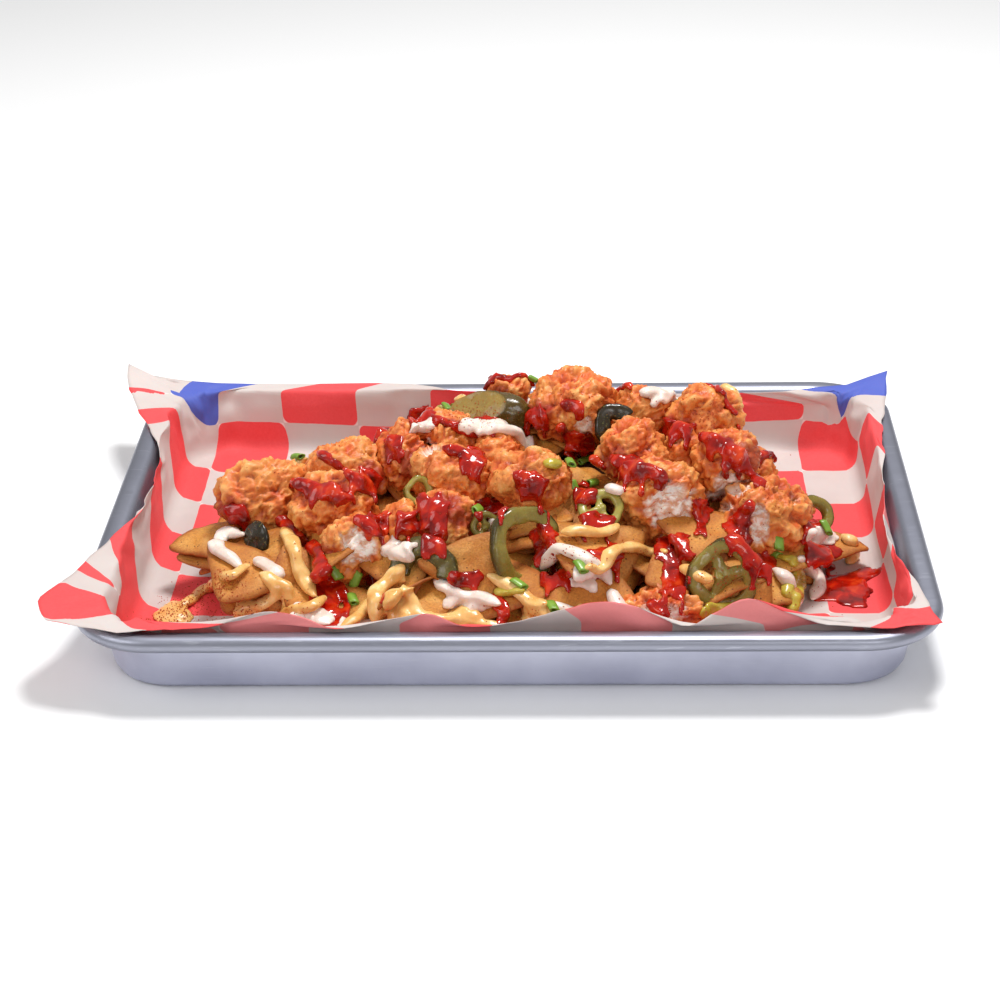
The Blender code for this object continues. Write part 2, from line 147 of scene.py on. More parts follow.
def joined(solids):
    """One array of points and one of faces from a list of them."""
    points, faces, first = [], [], 0
    for some_points, some_faces in solids:
        points.append(some_points)
        faces.append(np.asarray(some_faces) + first)
        first += len(some_points)
    return np.vstack(points), np.vstack(faces)


def remeshed(points, faces, voxel, smooth=0):
    """Closed skin of everything given, made of even small faces, with its normals."""
    mesh = bpy.data.meshes.new("work")
    mesh.from_pydata((np.asarray(points) * MM).tolist(), [], np.asarray(faces).tolist())
    work = bpy.data.objects.new("work", mesh)
    SCENE.collection.objects.link(work)
    skin = work.modifiers.new("skin", "REMESH")
    skin.mode = "VOXEL"
    skin.voxel_size = voxel * MM
    if smooth:
        soft = work.modifiers.new("soft", "SMOOTH")
        soft.factor = 0.5
        soft.iterations = smooth
    evaluated = work.evaluated_get(bpy.context.evaluated_depsgraph_get())
    made = evaluated.to_mesh()
    new_points, new_faces = read_mesh(made)
    normals = np.empty(len(made.vertices) * 3)
    made.vertex_normals.foreach_get("vector", normals)
    evaluated.to_mesh_clear()
    bpy.data.objects.remove(work)
    bpy.data.meshes.remove(mesh)
    return new_points, new_faces, normals.reshape(-1, 3)


def fractal(points, size, seed, octaves=1):
    """Smooth noise of about -1 to 1 at each point, with features of a size in mm."""
    shift = Vector((seed * 17.3, seed * 5.7, seed * 9.1))
    values = np.zeros(len(points))
    for level in range(octaves):
        scale = 2.0 ** level / size
        gain = 0.5 ** level
        values += [gain * noise.noise(Vector(p) * scale + shift) for p in points]
    return values * 1.6


def cells(points, size, seed):
    """Distance to the nearest of scattered centres, 0 at a centre, about 1 between them."""
    shift = Vector((seed * 3.3, seed * 8.1, seed * 2.9))
    return np.array([noise.voronoi(Vector(p) / size + shift)[0][0] for p in points])


def step(values, low, high):
    t = np.clip((values - low) / (high - low), 0, 1)
    return t * t * (3 - 2 * t)


def smooth_path(points, spacing):
    """Even samples along a Catmull-Rom curve through the points."""
    pts = np.array(points, dtype=float)
    pts = np.vstack([2 * pts[0] - pts[1], pts, 2 * pts[-1] - pts[-2]])
    curve = []
    for p0, p1, p2, p3 in zip(pts, pts[1:], pts[2:], pts[3:]):
        count = max(2, int(np.linalg.norm(p2 - p1) / spacing) + 1)
        for t in np.linspace(0, 1, count, endpoint=False):
            curve.append(0.5 * (2 * p1 + (p2 - p0) * t + (2 * p0 - 5 * p1 + 4 * p2 - p3) * t * t
                                + (3 * p1 - p0 - 3 * p2 + p3) * t ** 3))
    curve.append(pts[-2])
    return np.array(curve)


# ---------------------------------------------------------------- shader helpers
def linear(r, g, b):
    """A linear colour from an sRGB one of 0 to 255."""
    return tuple(((c / 255) / 12.92) if c <= 10 else ((c / 255 + 0.055) / 1.055) ** 2.4
                 for c in (r, g, b)) + (1.0,)


class Shader:
    """A small builder of a material's nodes."""

    def __init__(self, name, roughness=0.5, metallic=0.0, specular=0.5):
        self.mat = bpy.data.materials.new(name)
        self.mat.use_nodes = True
        self.tree = self.mat.node_tree
        self.main = self.tree.nodes["Principled BSDF"]
        self.main.inputs["Roughness"].default_value = roughness
        self.main.inputs["Metallic"].default_value = metallic
        self.main.inputs["Specular IOR Level"].default_value = specular
        self.place = self.tree.nodes.new("ShaderNodeTexCoord").outputs["Object"]

    def set(self, socket, value):
        self.main.inputs[socket].default_value = value
        return self

    def link(self, value, socket):
        if isinstance(value, bpy.types.NodeSocket):
            self.tree.links.new(value, socket)
        else:
            socket.default_value = value

    def noise(self, size_mm, detail=3.0, stretch=(1, 1, 1), rough=0.55, distort=0.0):
        mapping = self.tree.nodes.new("ShaderNodeMapping")
        mapping.inputs["Scale"].default_value = [1000 * s for s in stretch]
        self.link(self.place, mapping.inputs["Vector"])
        node = self.tree.nodes.new("ShaderNodeTexNoise")
        node.inputs["Scale"].default_value = 1 / size_mm
        node.inputs["Detail"].default_value = detail
        node.inputs["Roughness"].default_value = rough
        node.inputs["Distortion"].default_value = distort
        self.link(mapping.outputs[0], node.inputs["Vector"])
        return node.outputs["Fac"]

    def cells(self, size_mm, kind="F1"):
        mapping = self.tree.nodes.new("ShaderNodeMapping")
        mapping.inputs["Scale"].default_value = (1000, 1000, 1000)
        self.link(self.place, mapping.inputs["Vector"])
        node = self.tree.nodes.new("ShaderNodeTexVoronoi")
        node.feature = kind
        node.inputs["Scale"].default_value = 1 / size_mm
        self.link(mapping.outputs[0], node.inputs["Vector"])
        return node.outputs["Distance"]

    def attribute(self, name, part="Fac"):
        node = self.tree.nodes.new("ShaderNodeAttribute")
        node.attribute_name = name
        return node.outputs[part]

    def ramp(self, value, *stops):
        node = self.tree.nodes.new("ShaderNodeValToRGB")
        ramp = node.color_ramp
        while len(ramp.elements) < len(stops):
            ramp.elements.new(0.5)
        for element, (at, colour) in zip(ramp.elements, stops):
            element.position = at
            element.color = colour if isinstance(colour, tuple) else (colour,) * 3 + (1,)
        self.link(value, node.inputs["Fac"])
        return node.outputs["Color"]

    def mix(self, share, one, other):
        node = self.tree.nodes.new("ShaderNodeMix")
        node.data_type = "RGBA"
        self.link(share, node.inputs["Factor"])
        self.link(one, node.inputs[6])
        self.link(other, node.inputs[7])
        return node.outputs[2]

    def math(self, kind, one, other=0.0):
        node = self.tree.nodes.new("ShaderNodeMath")
        node.operation = kind
        self.link(one, node.inputs[0])
        self.link(other, node.inputs[1])
        return node.outputs[0]

    def colour(self, value):
        self.link(value, self.main.inputs["Base Color"])
        return self

    def roughness(self, value):
        self.link(value, self.main.inputs["Roughness"])
        return self

    def bump(self, height, depth_mm, strength=1.0):
        node = self.tree.nodes.new("ShaderNodeBump")
        node.inputs["Distance"].default_value = depth_mm * MM
        node.inputs["Strength"].default_value = strength
        self.link(height, node.inputs["Height"])
        self.link(node.outputs["Normal"], self.main.inputs["Normal"])
        return node.outputs["Normal"]


CREAM = linear(212, 200, 195)
CREAM_LIGHT = linear(232, 218, 214)
CHECK_BLUE = linear(82, 98, 188)
CHECK = 33.0                     # side of a printed square, mm
CHECK_X = -104.5                 # a line between squares, in the sheet's own places
CHECK_Y = 79.0
CHECK_ROUND = 3.4
BLUE_COLUMNS = (-2, 8)
BLUE_ROW = 1


def aluminium():
    m = Shader("brushed_aluminium", metallic=1.0)
    brushed = m.noise(0.5, 4, (0.05, 0.6, 0.6))
    cloud = m.noise(30, 3)
    tone = m.ramp(cloud, (0.3, linear(192, 194, 212)), (0.7, linear(212, 214, 230)))
    # Painted shade: the rim above about 21 mm, the rolled bead, is painted a darker grey for the
    # shade and dull reflection it shows.
    height = m.tree.nodes.new("ShaderNodeSeparateXYZ")
    m.link(m.place, height.inputs[0])
    bead = m.ramp(m.math("MULTIPLY", height.outputs["Z"], 1000 / 30), (0.70, 0.0), (0.78, 1.0))
    tone = m.mix(m.math("MULTIPLY", bead, 0.8), tone, linear(142, 144, 156))
    scratch = m.ramp(m.noise(1.1, 2, (0.09, 1, 1), 0.4), (0.66, 0.0), (0.72, 1.0))
    m.colour(m.mix(m.math("MULTIPLY", scratch, 0.25), tone, linear(214, 216, 226)))
    m.roughness(m.math("ADD", m.math("MULTIPLY", brushed, 0.22), 0.32))
    m.bump(brushed, 0.04, 0.5)
    return m.mat


def paper(name, show_through):
    """Greaseproof paper: rounded checks on cream, worked out from the sheet's own places."""
    m = Shader(name, roughness=0.62, specular=0.35)
    split = m.tree.nodes.new("ShaderNodeSeparateXYZ")
    m.link(m.attribute("sheet", "Vector"), split.inputs[0])
    wobble = m.math("MULTIPLY", m.math("SUBTRACT", m.noise(9, 2), 0.5), 0.5)
    cell, centred = [], []
    for axis, start in (("X", CHECK_X), ("Y", CHECK_Y)):
        along = m.math("ADD", m.math("SUBTRACT", split.outputs[axis], start), wobble)
        count = m.math("DIVIDE", along, CHECK)
        cell.append(m.math("FLOOR", count))
        inside = m.math("SUBTRACT", m.math("FRACT", count), 0.5)
        centred.append(m.math("MULTIPLY", m.math("ABSOLUTE", inside), CHECK))
    half = CHECK / 2 - CHECK_ROUND + 0.3
    over = [m.math("MAXIMUM", m.math("SUBTRACT", c, half), 0.0) for c in centred]
    corner = m.math("SQRT", m.math("ADD", m.math("POWER", over[0], 2.0),
                                   m.math("POWER", over[1], 2.0)))
    rounded = m.math("SUBTRACT", CHECK_ROUND, corner)
    ink = m.ramp(rounded, (0.0, 0.0), (0.35, 1.0))
    halo = m.ramp(m.math("ADD", rounded, 0.9), (0.0, 0.0), (0.4, 1.0))
    odd = m.math("PINGPONG", m.math("ADD", cell[0], cell[1]), 1.0)
    row_one = m.math("COMPARE", cell[1], float(BLUE_ROW))
    row_one.node.inputs[2].default_value = 0.2
    ends = []
    for column in BLUE_COLUMNS:
        end = m.math("COMPARE", cell[0], float(column))
        end.node.inputs[2].default_value = 0.2
        ends.append(end)
    blue = m.math("MULTIPLY", row_one, m.math("ADD", ends[0], ends[1]))
    fibre = m.noise(1.2, 5, (1, 1, 1), 0.7)
    stain = m.noise(38, 4)
    base = m.mix(m.ramp(stain, (0.35, 0.0), (0.75, 1.0)), CREAM, linear(200, 185, 180))
    base = m.mix(m.math("MULTIPLY", odd, halo), base, CREAM_LIGHT)
    red = m.mix(fibre, linear(230, 66, 70), linear(244, 88, 90))
    print_colour = m.mix(blue, red, CHECK_BLUE)
    shown = m.math("MULTIPLY", m.math("MULTIPLY", odd, ink), show_through)
    m.colour(m.mix(shown, base, print_colour))
    m.bump(m.math("ADD", fibre, m.math("MULTIPLY", m.noise(7, 3), 2.0)), 0.10, 0.35)
    m.set("Subsurface Weight", 0.05).set("Subsurface Scale", 0.001)
    return m.mat


def fried_crust():
    m = Shader("fried_crust", roughness=0.5, specular=0.45)
    # Partly painted shade: the crust's relief height darkens the colour in the crevices and
    # lightens it on the peaks, on top of its own random tone.
    crag = m.attribute("crag")
    patchy = m.math("MULTIPLY", m.math("SUBTRACT", m.noise(3.5, 4), 0.5), 0.5)
    tone = m.ramp(m.math("ADD", crag, patchy),
                  (0.05, linear(128, 40, 10)), (0.30, linear(196, 84, 26)),
                  (0.55, linear(230, 132, 58)), (0.85, linear(248, 184, 108)))
    blotch = m.ramp(m.noise(8, 3), (0.42, 0.0), (0.62, 1.0))
    tone = m.mix(m.math("MULTIPLY", blotch, 0.6), tone, linear(212, 80, 22))
    gold = m.ramp(m.noise(14, 3), (0.48, 0.0), (0.68, 1.0))
    tone = m.mix(m.math("MULTIPLY", gold, 0.55), tone, linear(226, 158, 78))
    pits = m.ramp(m.noise(1.9, 4), (0.58, 0.0), (0.72, 1.0))
    tone = m.mix(m.math("MULTIPLY", pits, 0.55), tone, linear(142, 48, 12))
    fibres = m.ramp(m.noise(1.3, 4, (0.3, 1.4, 0.5)), (0.38, 0.0), (0.56, 1.0))
    pale = m.mix(fibres, linear(226, 172, 138), linear(255, 246, 236))
    tone = m.mix(m.attribute("meat"), tone, pale)
    m.colour(m.mix(m.attribute("stain"), tone, linear(158, 30, 12)))
    m.roughness(m.ramp(m.noise(4, 3), (0.35, 0.32), (0.7, 0.62)))
    m.bump(m.math("ADD", m.noise(0.8, 4), m.math("MULTIPLY", m.noise(2.2, 3), 1.5)), 0.35, 0.5)
    m.set("Subsurface Weight", 0.12).set("Subsurface Scale", 0.002)
    return m.mat


def fried_corn():
    m = Shader("fried_corn", roughness=0.5, specular=0.4)
    split = m.tree.nodes.new("ShaderNodeSeparateXYZ")
    m.link(m.attribute("look", "Vector"), split.inputs[0])
    toasted, tint, blistered = split.outputs
    grain = m.noise(0.9, 5, (1, 1, 1), 0.7)
    tone = m.ramp(m.noise(12, 4), (0.3, linear(196, 122, 42)), (0.52, linear(224, 156, 66)),
                  (0.75, linear(242, 190, 100)))
    tone = m.mix(m.math("MULTIPLY", tint, 0.5), tone, linear(202, 116, 40))
    coarse = m.ramp(grain, (0.40, 0.0), (0.62, 1.0))
    tone = m.mix(m.math("MULTIPLY", coarse, 0.5), tone, linear(158, 84, 26))
    toast = m.math("MULTIPLY", toasted, m.ramp(m.noise(9, 3), (0.3, 0.3), (0.7, 1.0)))
    tone = m.mix(toast, tone, linear(148, 66, 18))
    tone = m.mix(m.math("MULTIPLY", blistered, 0.5), tone, linear(240, 188, 110))
    specks = m.ramp(m.cells(2.2), (0.12, 1.0), (0.18, 0.0))
    specks = m.math("MULTIPLY", specks, m.ramp(m.noise(6, 2), (0.46, 0.0), (0.56, 1.0)))
    m.colour(m.mix(specks, tone, linear(92, 36, 10)))
    rough = m.math("ADD", m.math("MULTIPLY", grain, 1.3), m.noise(3.2, 3))
    m.bump(rough, 0.42, 0.8)
    m.set("Subsurface Weight", 0.08).set("Subsurface Scale", 0.001)
    return m.mat


# Painted shade: the core under the loose chips is coloured near-black brown so that the gaps
# between chips read as shadow.
def heap_core():
    m = Shader("heap_core", roughness=0.7, specular=0.3)
    m.colour(m.ramp(m.noise(6, 4), (0.35, linear(30, 12, 5)), (0.7, linear(74, 36, 12))))
    m.bump(m.noise(4, 4), 1.0, 0.8)
    return m.mat


def pickled_pepper(name, skin, flesh):
    m = Shader(name, roughness=0.22, specular=0.5)
    tone = m.ramp(m.math("ADD", m.attribute("rim"), m.math("MULTIPLY", m.noise(3, 3), 0.18)),
                  (0.25, flesh), (0.72, tuple(0.55 * f + 0.45 * s for f, s in zip(flesh, skin))),
                  (1.0, skin))
    speckle = m.ramp(m.noise(1.1, 3), (0.6, 0.0), (0.7, 1.0))
    m.colour(m.mix(m.math("MULTIPLY", speckle, 0.45), tone, linear(168, 160, 92)))
    m.roughness(m.ramp(m.noise(3, 2), (0.3, 0.14), (0.7, 0.38)))
    m.bump(m.noise(1.8, 3), 0.12, 0.5)
    m.set("Subsurface Weight", 0.18).set("Subsurface Scale", 0.003)
    return m.mat


def wet_sauce(name, deep, bright, thin, roughness):
    """Sauce whose colour drifts at random between deep, bright and thin tones, with a soft uneven
    gloss.
    """
    m = Shader(name, roughness=roughness, specular=0.5)
    tone = m.ramp(m.noise(7, 3, (1, 1, 1), 0.5, 0.6), (0.3, deep), (0.55, bright), (0.8, thin))
    m.colour(tone)
    m.roughness(m.ramp(m.noise(5, 2), (0.3, roughness * 0.5), (0.75, roughness * 1.7)))
    m.bump(m.noise(3.0, 2), 0.18, 0.35)
    m.set("Subsurface Weight", 0.15).set("Subsurface Scale", 0.002)
    return m.mat


def plain_speckled(name, one, other, size, roughness):
    m = Shader(name, roughness=roughness)
    m.colour(m.mix(m.noise(size, 3), one, other))
    m.bump(m.noise(size * 0.6, 3), 0.1, 0.5)
    return m.mat


def floor_material():
    m = Shader("floor", roughness=0.6, specular=0.2)
    m.colour(linear(250, 250, 250))
    return m.mat


# ---------------------------------------------------------------- pan
PAN_LENGTH = 330.0
PAN_WIDTH = 241.0
RIM_CORNER = 32.0
CORNER_TAPER = 0.6
# Section as (inset from the rim's outside, height): underside, wall, rolled bead, wall, floor.
PAN_SECTION = (
    (26, 0.0), (17.2, 0.0), (15.4, 0.35), (13.6, 1.5), (12.5, 3.6), (11.2, 11.0), (9.9, 18.6),
    (9.5, 21.4), (8.9, 22.2), (6.0, 22.3), (2.6, 22.2), (1.0, 22.6), (0.15, 24.0), (0.0, 25.2),
    (0.3, 26.6), (1.4, 27.7), (3.4, 28.0), (6.4, 27.9), (8.4, 27.2), (9.6, 25.6), (10.6, 22.0),
    (12.0, 13.0), (13.3, 5.0), (14.1, 2.9), (15.6, 1.6), (17.6, 1.2), (26, 1.2))
PAN_CORNER_STEPS = 18


def outline(inset, corner_steps, long_steps, short_steps):
    """Rounded rectangle at an inset from the rim's outside, with its outward directions."""
    radius = RIM_CORNER - CORNER_TAPER * inset
    corner_x = PAN_LENGTH / 2 - inset - radius
    corner_y = PAN_WIDTH / 2 - inset - radius
    arcs = []
    for quarter, (side_x, side_y) in enumerate(((1, 1), (-1, 1), (-1, -1), (1, -1))):
        angles = np.radians(90 * (quarter + np.arange(corner_steps + 1) / corner_steps))
        out = np.column_stack([np.cos(angles), np.sin(angles)])
        arcs.append((out * radius + (side_x * corner_x, side_y * corner_y), out))
    points, outward = [], []
    for quarter, (arc, out) in enumerate(arcs):
        points.append(arc)
        outward.append(out)
        steps = long_steps if quarter % 2 == 0 else short_steps
        t = (np.arange(1, steps) / steps)[:, None]
        points.append(arc[-1] + (arcs[(quarter + 1) % 4][0][0] - arc[-1]) * t)
        outward.append(np.repeat(out[-1:], steps - 1, axis=0))
    return np.vstack(points), np.vstack(outward)


def ring_quads(levels, count):
    low = (np.arange(levels - 1) * count)[:, None]
    i = np.arange(count)
    j = (i + 1) % count
    quads = np.stack([low + i, low + j, low + count + j, low + count + i], axis=-1)
    return quads.reshape(-1, 4)


def make_pan(mat):
    rings = []
    for inset, height in PAN_SECTION:
        flat, _ = outline(inset, PAN_CORNER_STEPS, 8, 6)
        rings.append(np.column_stack([flat, np.full(len(flat), height)]))
    count = len(rings[0])
    quads = [ring_quads(len(rings), count)]
    points = list(rings)
    first = len(rings) * count
    for side, height, flip in ((0, 0.0, True), (len(rings) - 1, 1.2, False)):
        points.append(np.array([[0.0, 0.0, height]]))
        i = side * count + np.arange(count)
        j = side * count + (np.arange(count) + 1) % count
        middle = np.full(count, first)
        cap = np.stack([j, i, middle] if flip else [i, j, middle], axis=1)
        quads.append(np.column_stack([cap, cap[:, :1]]))
        first += 1
    all_points = np.vstack(points)
    triangles = [np.vstack([quads[0][:, [0, 1, 2]], quads[0][:, [0, 2, 3]]])]
    triangles += [cap[:, :3] for cap in quads[1:]]
    pan = add_piece("sheet_pan", all_points, np.vstack(triangles), mat)
    pan.data.set_sharp_from_angle(angle=math.radians(60))
    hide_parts("pan")
    return pan


# ---------------------------------------------------------------- paper liner
SHEET_X = 190.5                  # half sizes of the flat sheet, mm
SHEET_Y = 136.5
# The free edge, anticlockwise from the middle of the right side: inside the wall at the middle
# of both ends, spread over the corners, laid on the far rim and standing up along the near one.
PAPER_EDGE = (
    (154.0, 12, 28.2), (156.2, 30, 28.9), (160, 60, 29.2), (165, 98, 30), (168, 117, 34),
    (152, 113, 29.4), (138, 110.6, 29.0), (110, 109.4, 27.0), (40, 109.4, 26.5),
    (-24, 109.4, 28.6), (-38, 112, 29.6), (-60, 117, 29.2), (-130, 118, 29.2), (-168, 122, 31.5),
    (-178, 126, 37), (-174, 97, 33), (-163, 72, 29.6), (-155, 52, 28.8), (-152.4, 30, 27),
    (-152.2, 2, 27.6), (-153.6, -14, 29.0), (-157, -28, 29.4), (-162, -44, 29.8),
    (-170, -70, 30.5), (-179, -98, 31), (-166, -114, 30), (-148, -117, 29.4), (-114, -114.5, 29.6),
    (-102, -112, 31.5), (-89, -110.6, 35), (-76, -111.4, 32.4), (-62, -114.5, 29.4),
    (-46, -112, 31), (-28, -110.8, 33.6), (-12, -114.0, 29.6), (9, -112, 31.6), (24, -110.6, 36),
    (39, -110.4, 38.5), (54, -111.0, 33.5), (67, -113, 29.8), (78, -111.4, 34), (89, -110.4, 38.5),
    (105, -111.6, 33), (120, -114.4, 29.6), (146, -117, 29.4), (163, -116, 29.6), (158, -92, 29.8),
    (155.0, -64, 29), (151.6, -46, 27.4), (151.6, -12, 27.2))


def paper_columns():
    """For each column of the paper: its foot and crest on the pan, its outer place on the flat
    sheet, and its free edge in space."""
    foot, out = outline(19.0, 26, 70, 46)
    wall_top, _ = outline(11.6, 26, 70, 46)
    crest, _ = outline(10.0, 26, 70, 46)
    reach_x = (SHEET_X - np.abs(foot[:, 0])) / np.maximum(np.abs(out[:, 0]), 1e-6)
    reach_y = (SHEET_Y - np.abs(foot[:, 1])) / np.maximum(np.abs(out[:, 1]), 1e-6)
    border = foot + out * np.minimum(reach_x, reach_y)[:, None]
    loop = smooth_path(PAPER_EDGE + PAPER_EDGE[:1], 1.5)
    angles = np.arctan2(loop[:, 1], loop[:, 0])
    order = np.argsort(angles)
    wanted = np.arctan2(border[:, 1], border[:, 0])
    edge = np.column_stack([np.interp(wanted, angles[order], loop[order, axis],
                                      period=math.tau) for axis in range(3)])
    return foot, out, wall_top, crest, border, edge


def pleated(places):
    """Where each point's print comes from once the left end is pleated: the squares there are
    slanted and the outermost column is folded away, except in the near corner."""
    u, v = places[:, 0].copy(), places[:, 1].copy()
    left = np.maximum(0, -132 - u)
    side = step(v, -84, -62) * (1 - step(v, 84, 104))
    near = 1 - step(v, -86, -66) * (1 - step(v, 108, 113))
    places = places.copy()
    places[:, 1] = v - 0.65 * left * side
    folded = np.maximum(u, -168.0)
    places[:, 0] = u * near + folded * (1 - near) - 13 * near * step(-u, 105, 135) * (v < 0)
    return places


def make_paper(front, back):
    foot, out, wall_top, crest, border, edge = paper_columns()
    count = len(foot)
    floor_z, levels, places = 1.75, [], []
    for share in np.linspace(0.0, 1.0, 26)[1:]:
        flat = foot * share
        levels.append(np.column_stack([flat, np.full(count, floor_z)]))
        places.append(flat)
    floor_levels = len(levels)

    def at(flat, height):
        return np.column_stack([flat, np.broadcast_to(height, count)])

    over = np.clip((edge[:, 2] - 28.0) / 0.8, 0, 1)[:, None]
    low_turn = (at(wall_top, 21.5) + edge) / 2
    turn = at(crest, 28.9) * over + low_turn * (1 - over)
    bend = [at(foot, floor_z), at(foot + out * 2.6, 2.9), at(foot + out * 4.4, 5.2),
            at(foot + (wall_top - foot) * 0.82, 14.0), at(wall_top, 21.5), turn, edge]
    lengths = [np.zeros(count)]
    for a, b in zip(bend, bend[1:]):
        lengths.append(lengths[-1] + np.linalg.norm(b - a, axis=1))
    total = lengths[-1]
    for share in np.linspace(0, 1, 31)[1:]:
        wanted = total * share
        level = np.zeros((count, 3))
        for k in range(len(bend) - 1):
            here = (wanted >= lengths[k] - 1e-9) & (wanted <= lengths[k + 1] + 1e-9)
            t = ((wanted - lengths[k]) / np.maximum(lengths[k + 1] - lengths[k], 1e-6))[:, None]
            level[here] = (bend[k] + (bend[k + 1] - bend[k]) * t)[here]
        levels.append(level)
        places.append(foot + (border - foot) * share)
    grid = np.array(levels)
    grid[floor_levels:-1] = (grid[floor_levels - 1:-2] + 2 * grid[floor_levels:-1]
                             + grid[floor_levels + 1:]) / 4
    sheet = np.array(places)
    points = grid.reshape(-1, 3)
    # Crumples: long soft creases, deepest in the corners, that only lift the sheet off the pan.
    corner = np.clip((np.abs(points[:, 0]) - 105) / 50, 0, 1) * np.clip(
        (np.abs(points[:, 1]) - 62) / 45, 0, 1)
    rise = np.clip((points[:, 2] - floor_z) / 20, 0, 1)
    flat_places = np.column_stack([sheet.reshape(-1, 2), np.zeros(len(points))])
    crease = 1 - np.abs(fractal(flat_places, 26, 3))
    soft = fractal(flat_places, 17, 5, 2)
    creased = corner * (2.6 * crease ** 3 + 1.2 * soft)
    lift = 0.25 + 0.35 * soft + rise * (0.5 + 0.8 * soft) + creased
    lift = np.maximum(lift, 0.0)
    inward = np.column_stack([-np.tile(out, (len(levels), 1)) * rise[:, None],
                              1.0 - 0.75 * rise])
    points = points + inward * lift[:, None]
    middle = np.array([[0.0, 0.0, floor_z]])
    points = np.vstack([points, middle])
    quads = ring_quads(len(levels), count)
    i = np.arange(count)
    hub = np.stack([i, (i + 1) % count, np.full(count, len(points) - 1)], axis=1)
    faces = np.vstack([quads[:, [0, 1, 2]], quads[:, [0, 2, 3]], hub[:, [0, 1, 2]]])
    faces = faces[:, ::-1]
    places3 = np.vstack([pleated(flat_places), [[0, 0, 0]]])
    obj = add_piece("paper_liner", points, faces, [front, back],
                    {"sheet": places3})
    thick = obj.modifiers.new("thick", "SOLIDIFY")
    thick.thickness = 0.22 * MM
    thick.offset = 0.0
    thick.material_offset = 1
    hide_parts("paper")
    return obj, points, faces


# ---------------------------------------------------------------- what is already on the pan
FRONT_WALL = -105.5              # nothing lies nearer than this: the liner stands up there


class Food:
    """Everything that sauce can land on, as one surface in mm."""

    def __init__(self):
        self.solids = []
        self.tree = None

    def add(self, points, faces):
        self.solids.append((np.asarray(points), np.asarray(faces)[:, :3]))
        self.tree = None

    def surface(self):
        if self.tree is None:
            points, faces = joined(self.solids)
            self.tree = BVHTree.FromPolygons(points.tolist(), faces.tolist())
        return self.tree

    def hit(self, x, h):
        """Where the line from the lens through (x, h) first meets the food, and the normal."""
        away = seen(x, h, 0.0) - LENS
        start, ahead = Vector(LENS), Vector(away).normalized()
        place, normal, _, _ = self.surface().ray_cast(start, ahead)
        while place is not None and place.y < FRONT_WALL:
            place, normal, _, _ = self.surface().ray_cast(place + ahead * 0.5, ahead)
        if place is None:
            return None
        if normal.dot(Vector(away)) > 0:
            normal = -normal
        return np.array(place), np.array(normal)

    def below(self, x, y):
        """Where a thing dropped at (x, y) lands, and the normal."""
        place, normal, _, _ = self.surface().ray_cast(Vector((x, y, 200.0)), Vector((0, 0, -1)))
        if place is None:
            return None
        return np.array(place), np.array(normal if normal.z > 0 else -normal)


def node_solid(name):
    """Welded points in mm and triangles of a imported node."""
    points, faces = read_mesh(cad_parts[name].data)
    _, first, index = np.unique(np.round(points, 3), axis=0, return_index=True,
                                return_inverse=True)
    faces = index.reshape(-1)[faces]
    whole = (faces[:, 0] != faces[:, 1]) & (faces[:, 1] != faces[:, 2]) & (
        faces[:, 0] != faces[:, 2])
    return points[first], faces[whole]


# ---------------------------------------------------------------- chips
CHIP_STEPS = 16
CHIP_THICK = 1.5


def chip_solid(side, bend, seed):
    """One curled triangular chip about its own middle: points, triangles and toasting."""
    rng = random.Random(seed)
    steps = CHIP_STEPS
    radius = side / math.sqrt(3)
    angles = [math.radians(90 + 120 * k + rng.uniform(-7, 7)) for k in range(3)]
    corners = np.array([(radius * rng.uniform(0.9, 1.08) * math.cos(a),
                         radius * math.sin(a), 0) for a in angles])
    index, flat, edge = {}, [], []
    for i in range(steps + 1):
        for j in range(steps + 1 - i):
            w = np.array((i, j, steps - i - j)) / steps
            point = w @ corners
            point = point * (1 - 0.10 * w.max() ** 6 * 2 + 0.10 * (1 - w.max()) * w.max())
            index[i, j] = len(flat)
            flat.append(point)
            edge.append(1 - 3 * w.min())
    flat = np.array(flat)
    edge = np.array(edge)
    twist = rng.uniform(-0.006, 0.006)
    curl = rng.uniform(0, math.pi)
    across = flat[:, 0] * math.cos(curl) + flat[:, 1] * math.sin(curl)
    shape = -bend * (2 * across / side) ** 2 + twist * flat[:, 0] * flat[:, 1]
    shape = shape + 1.1 * fractal(flat, 13, seed) + 0.3 * fractal(flat, 4, seed + 9)
    blister = np.maximum(0, fractal(flat, 7, seed + 4) - 0.35) * 2.6 * (1 - edge ** 2)
    ragged = 1 + 0.02 * fractal(flat, 5, seed + 2) * edge ** 4
    thickness = CHIP_THICK * (1 - 0.45 * edge ** 6)
    upper = np.column_stack([flat[:, :2] * ragged[:, None], shape + thickness / 2 + blister])
    lower = np.column_stack([flat[:, :2] * ragged[:, None], shape - thickness / 2])
    faces = []
    for i in range(steps):
        for j in range(steps - i):
            faces.append((index[i, j], index[i + 1, j], index[i, j + 1]))
            if i + j < steps - 1:
                faces.append((index[i + 1, j], index[i + 1, j + 1], index[i, j + 1]))
    total = len(flat)
    border = ([index[i, 0] for i in range(steps)] + [index[steps - j, j] for j in range(steps)]
              + [index[0, steps - j] for j in range(steps)])
    faces += [tuple(total + v for v in reversed(f)) for f in faces]
    for k, a in enumerate(border):
        b = border[(k + 1) % len(border)]
        faces += [(b, a, total + a), (b, total + a, total + b)]
    toast = np.clip(edge ** 5 * 0.9 + blister * 0.25, 0, 1)
    tint = rng.uniform(0, 1)
    look = np.column_stack([toast, np.full(total, tint), np.clip(blister * 0.5, 0, 1)])
    return np.vstack([upper, lower]), np.array(faces), np.vstack([look, look])


def placed(points, centre, lean, roll, turn):
    """Turn about Z, then lean about X and roll about Y, then move."""
    spin = (Euler((math.radians(lean), math.radians(roll), 0)).to_matrix()
            @ Matrix.Rotation(math.radians(turn), 3, "Z"))
    return points @ np.array(spin).T + np.asarray(centre)


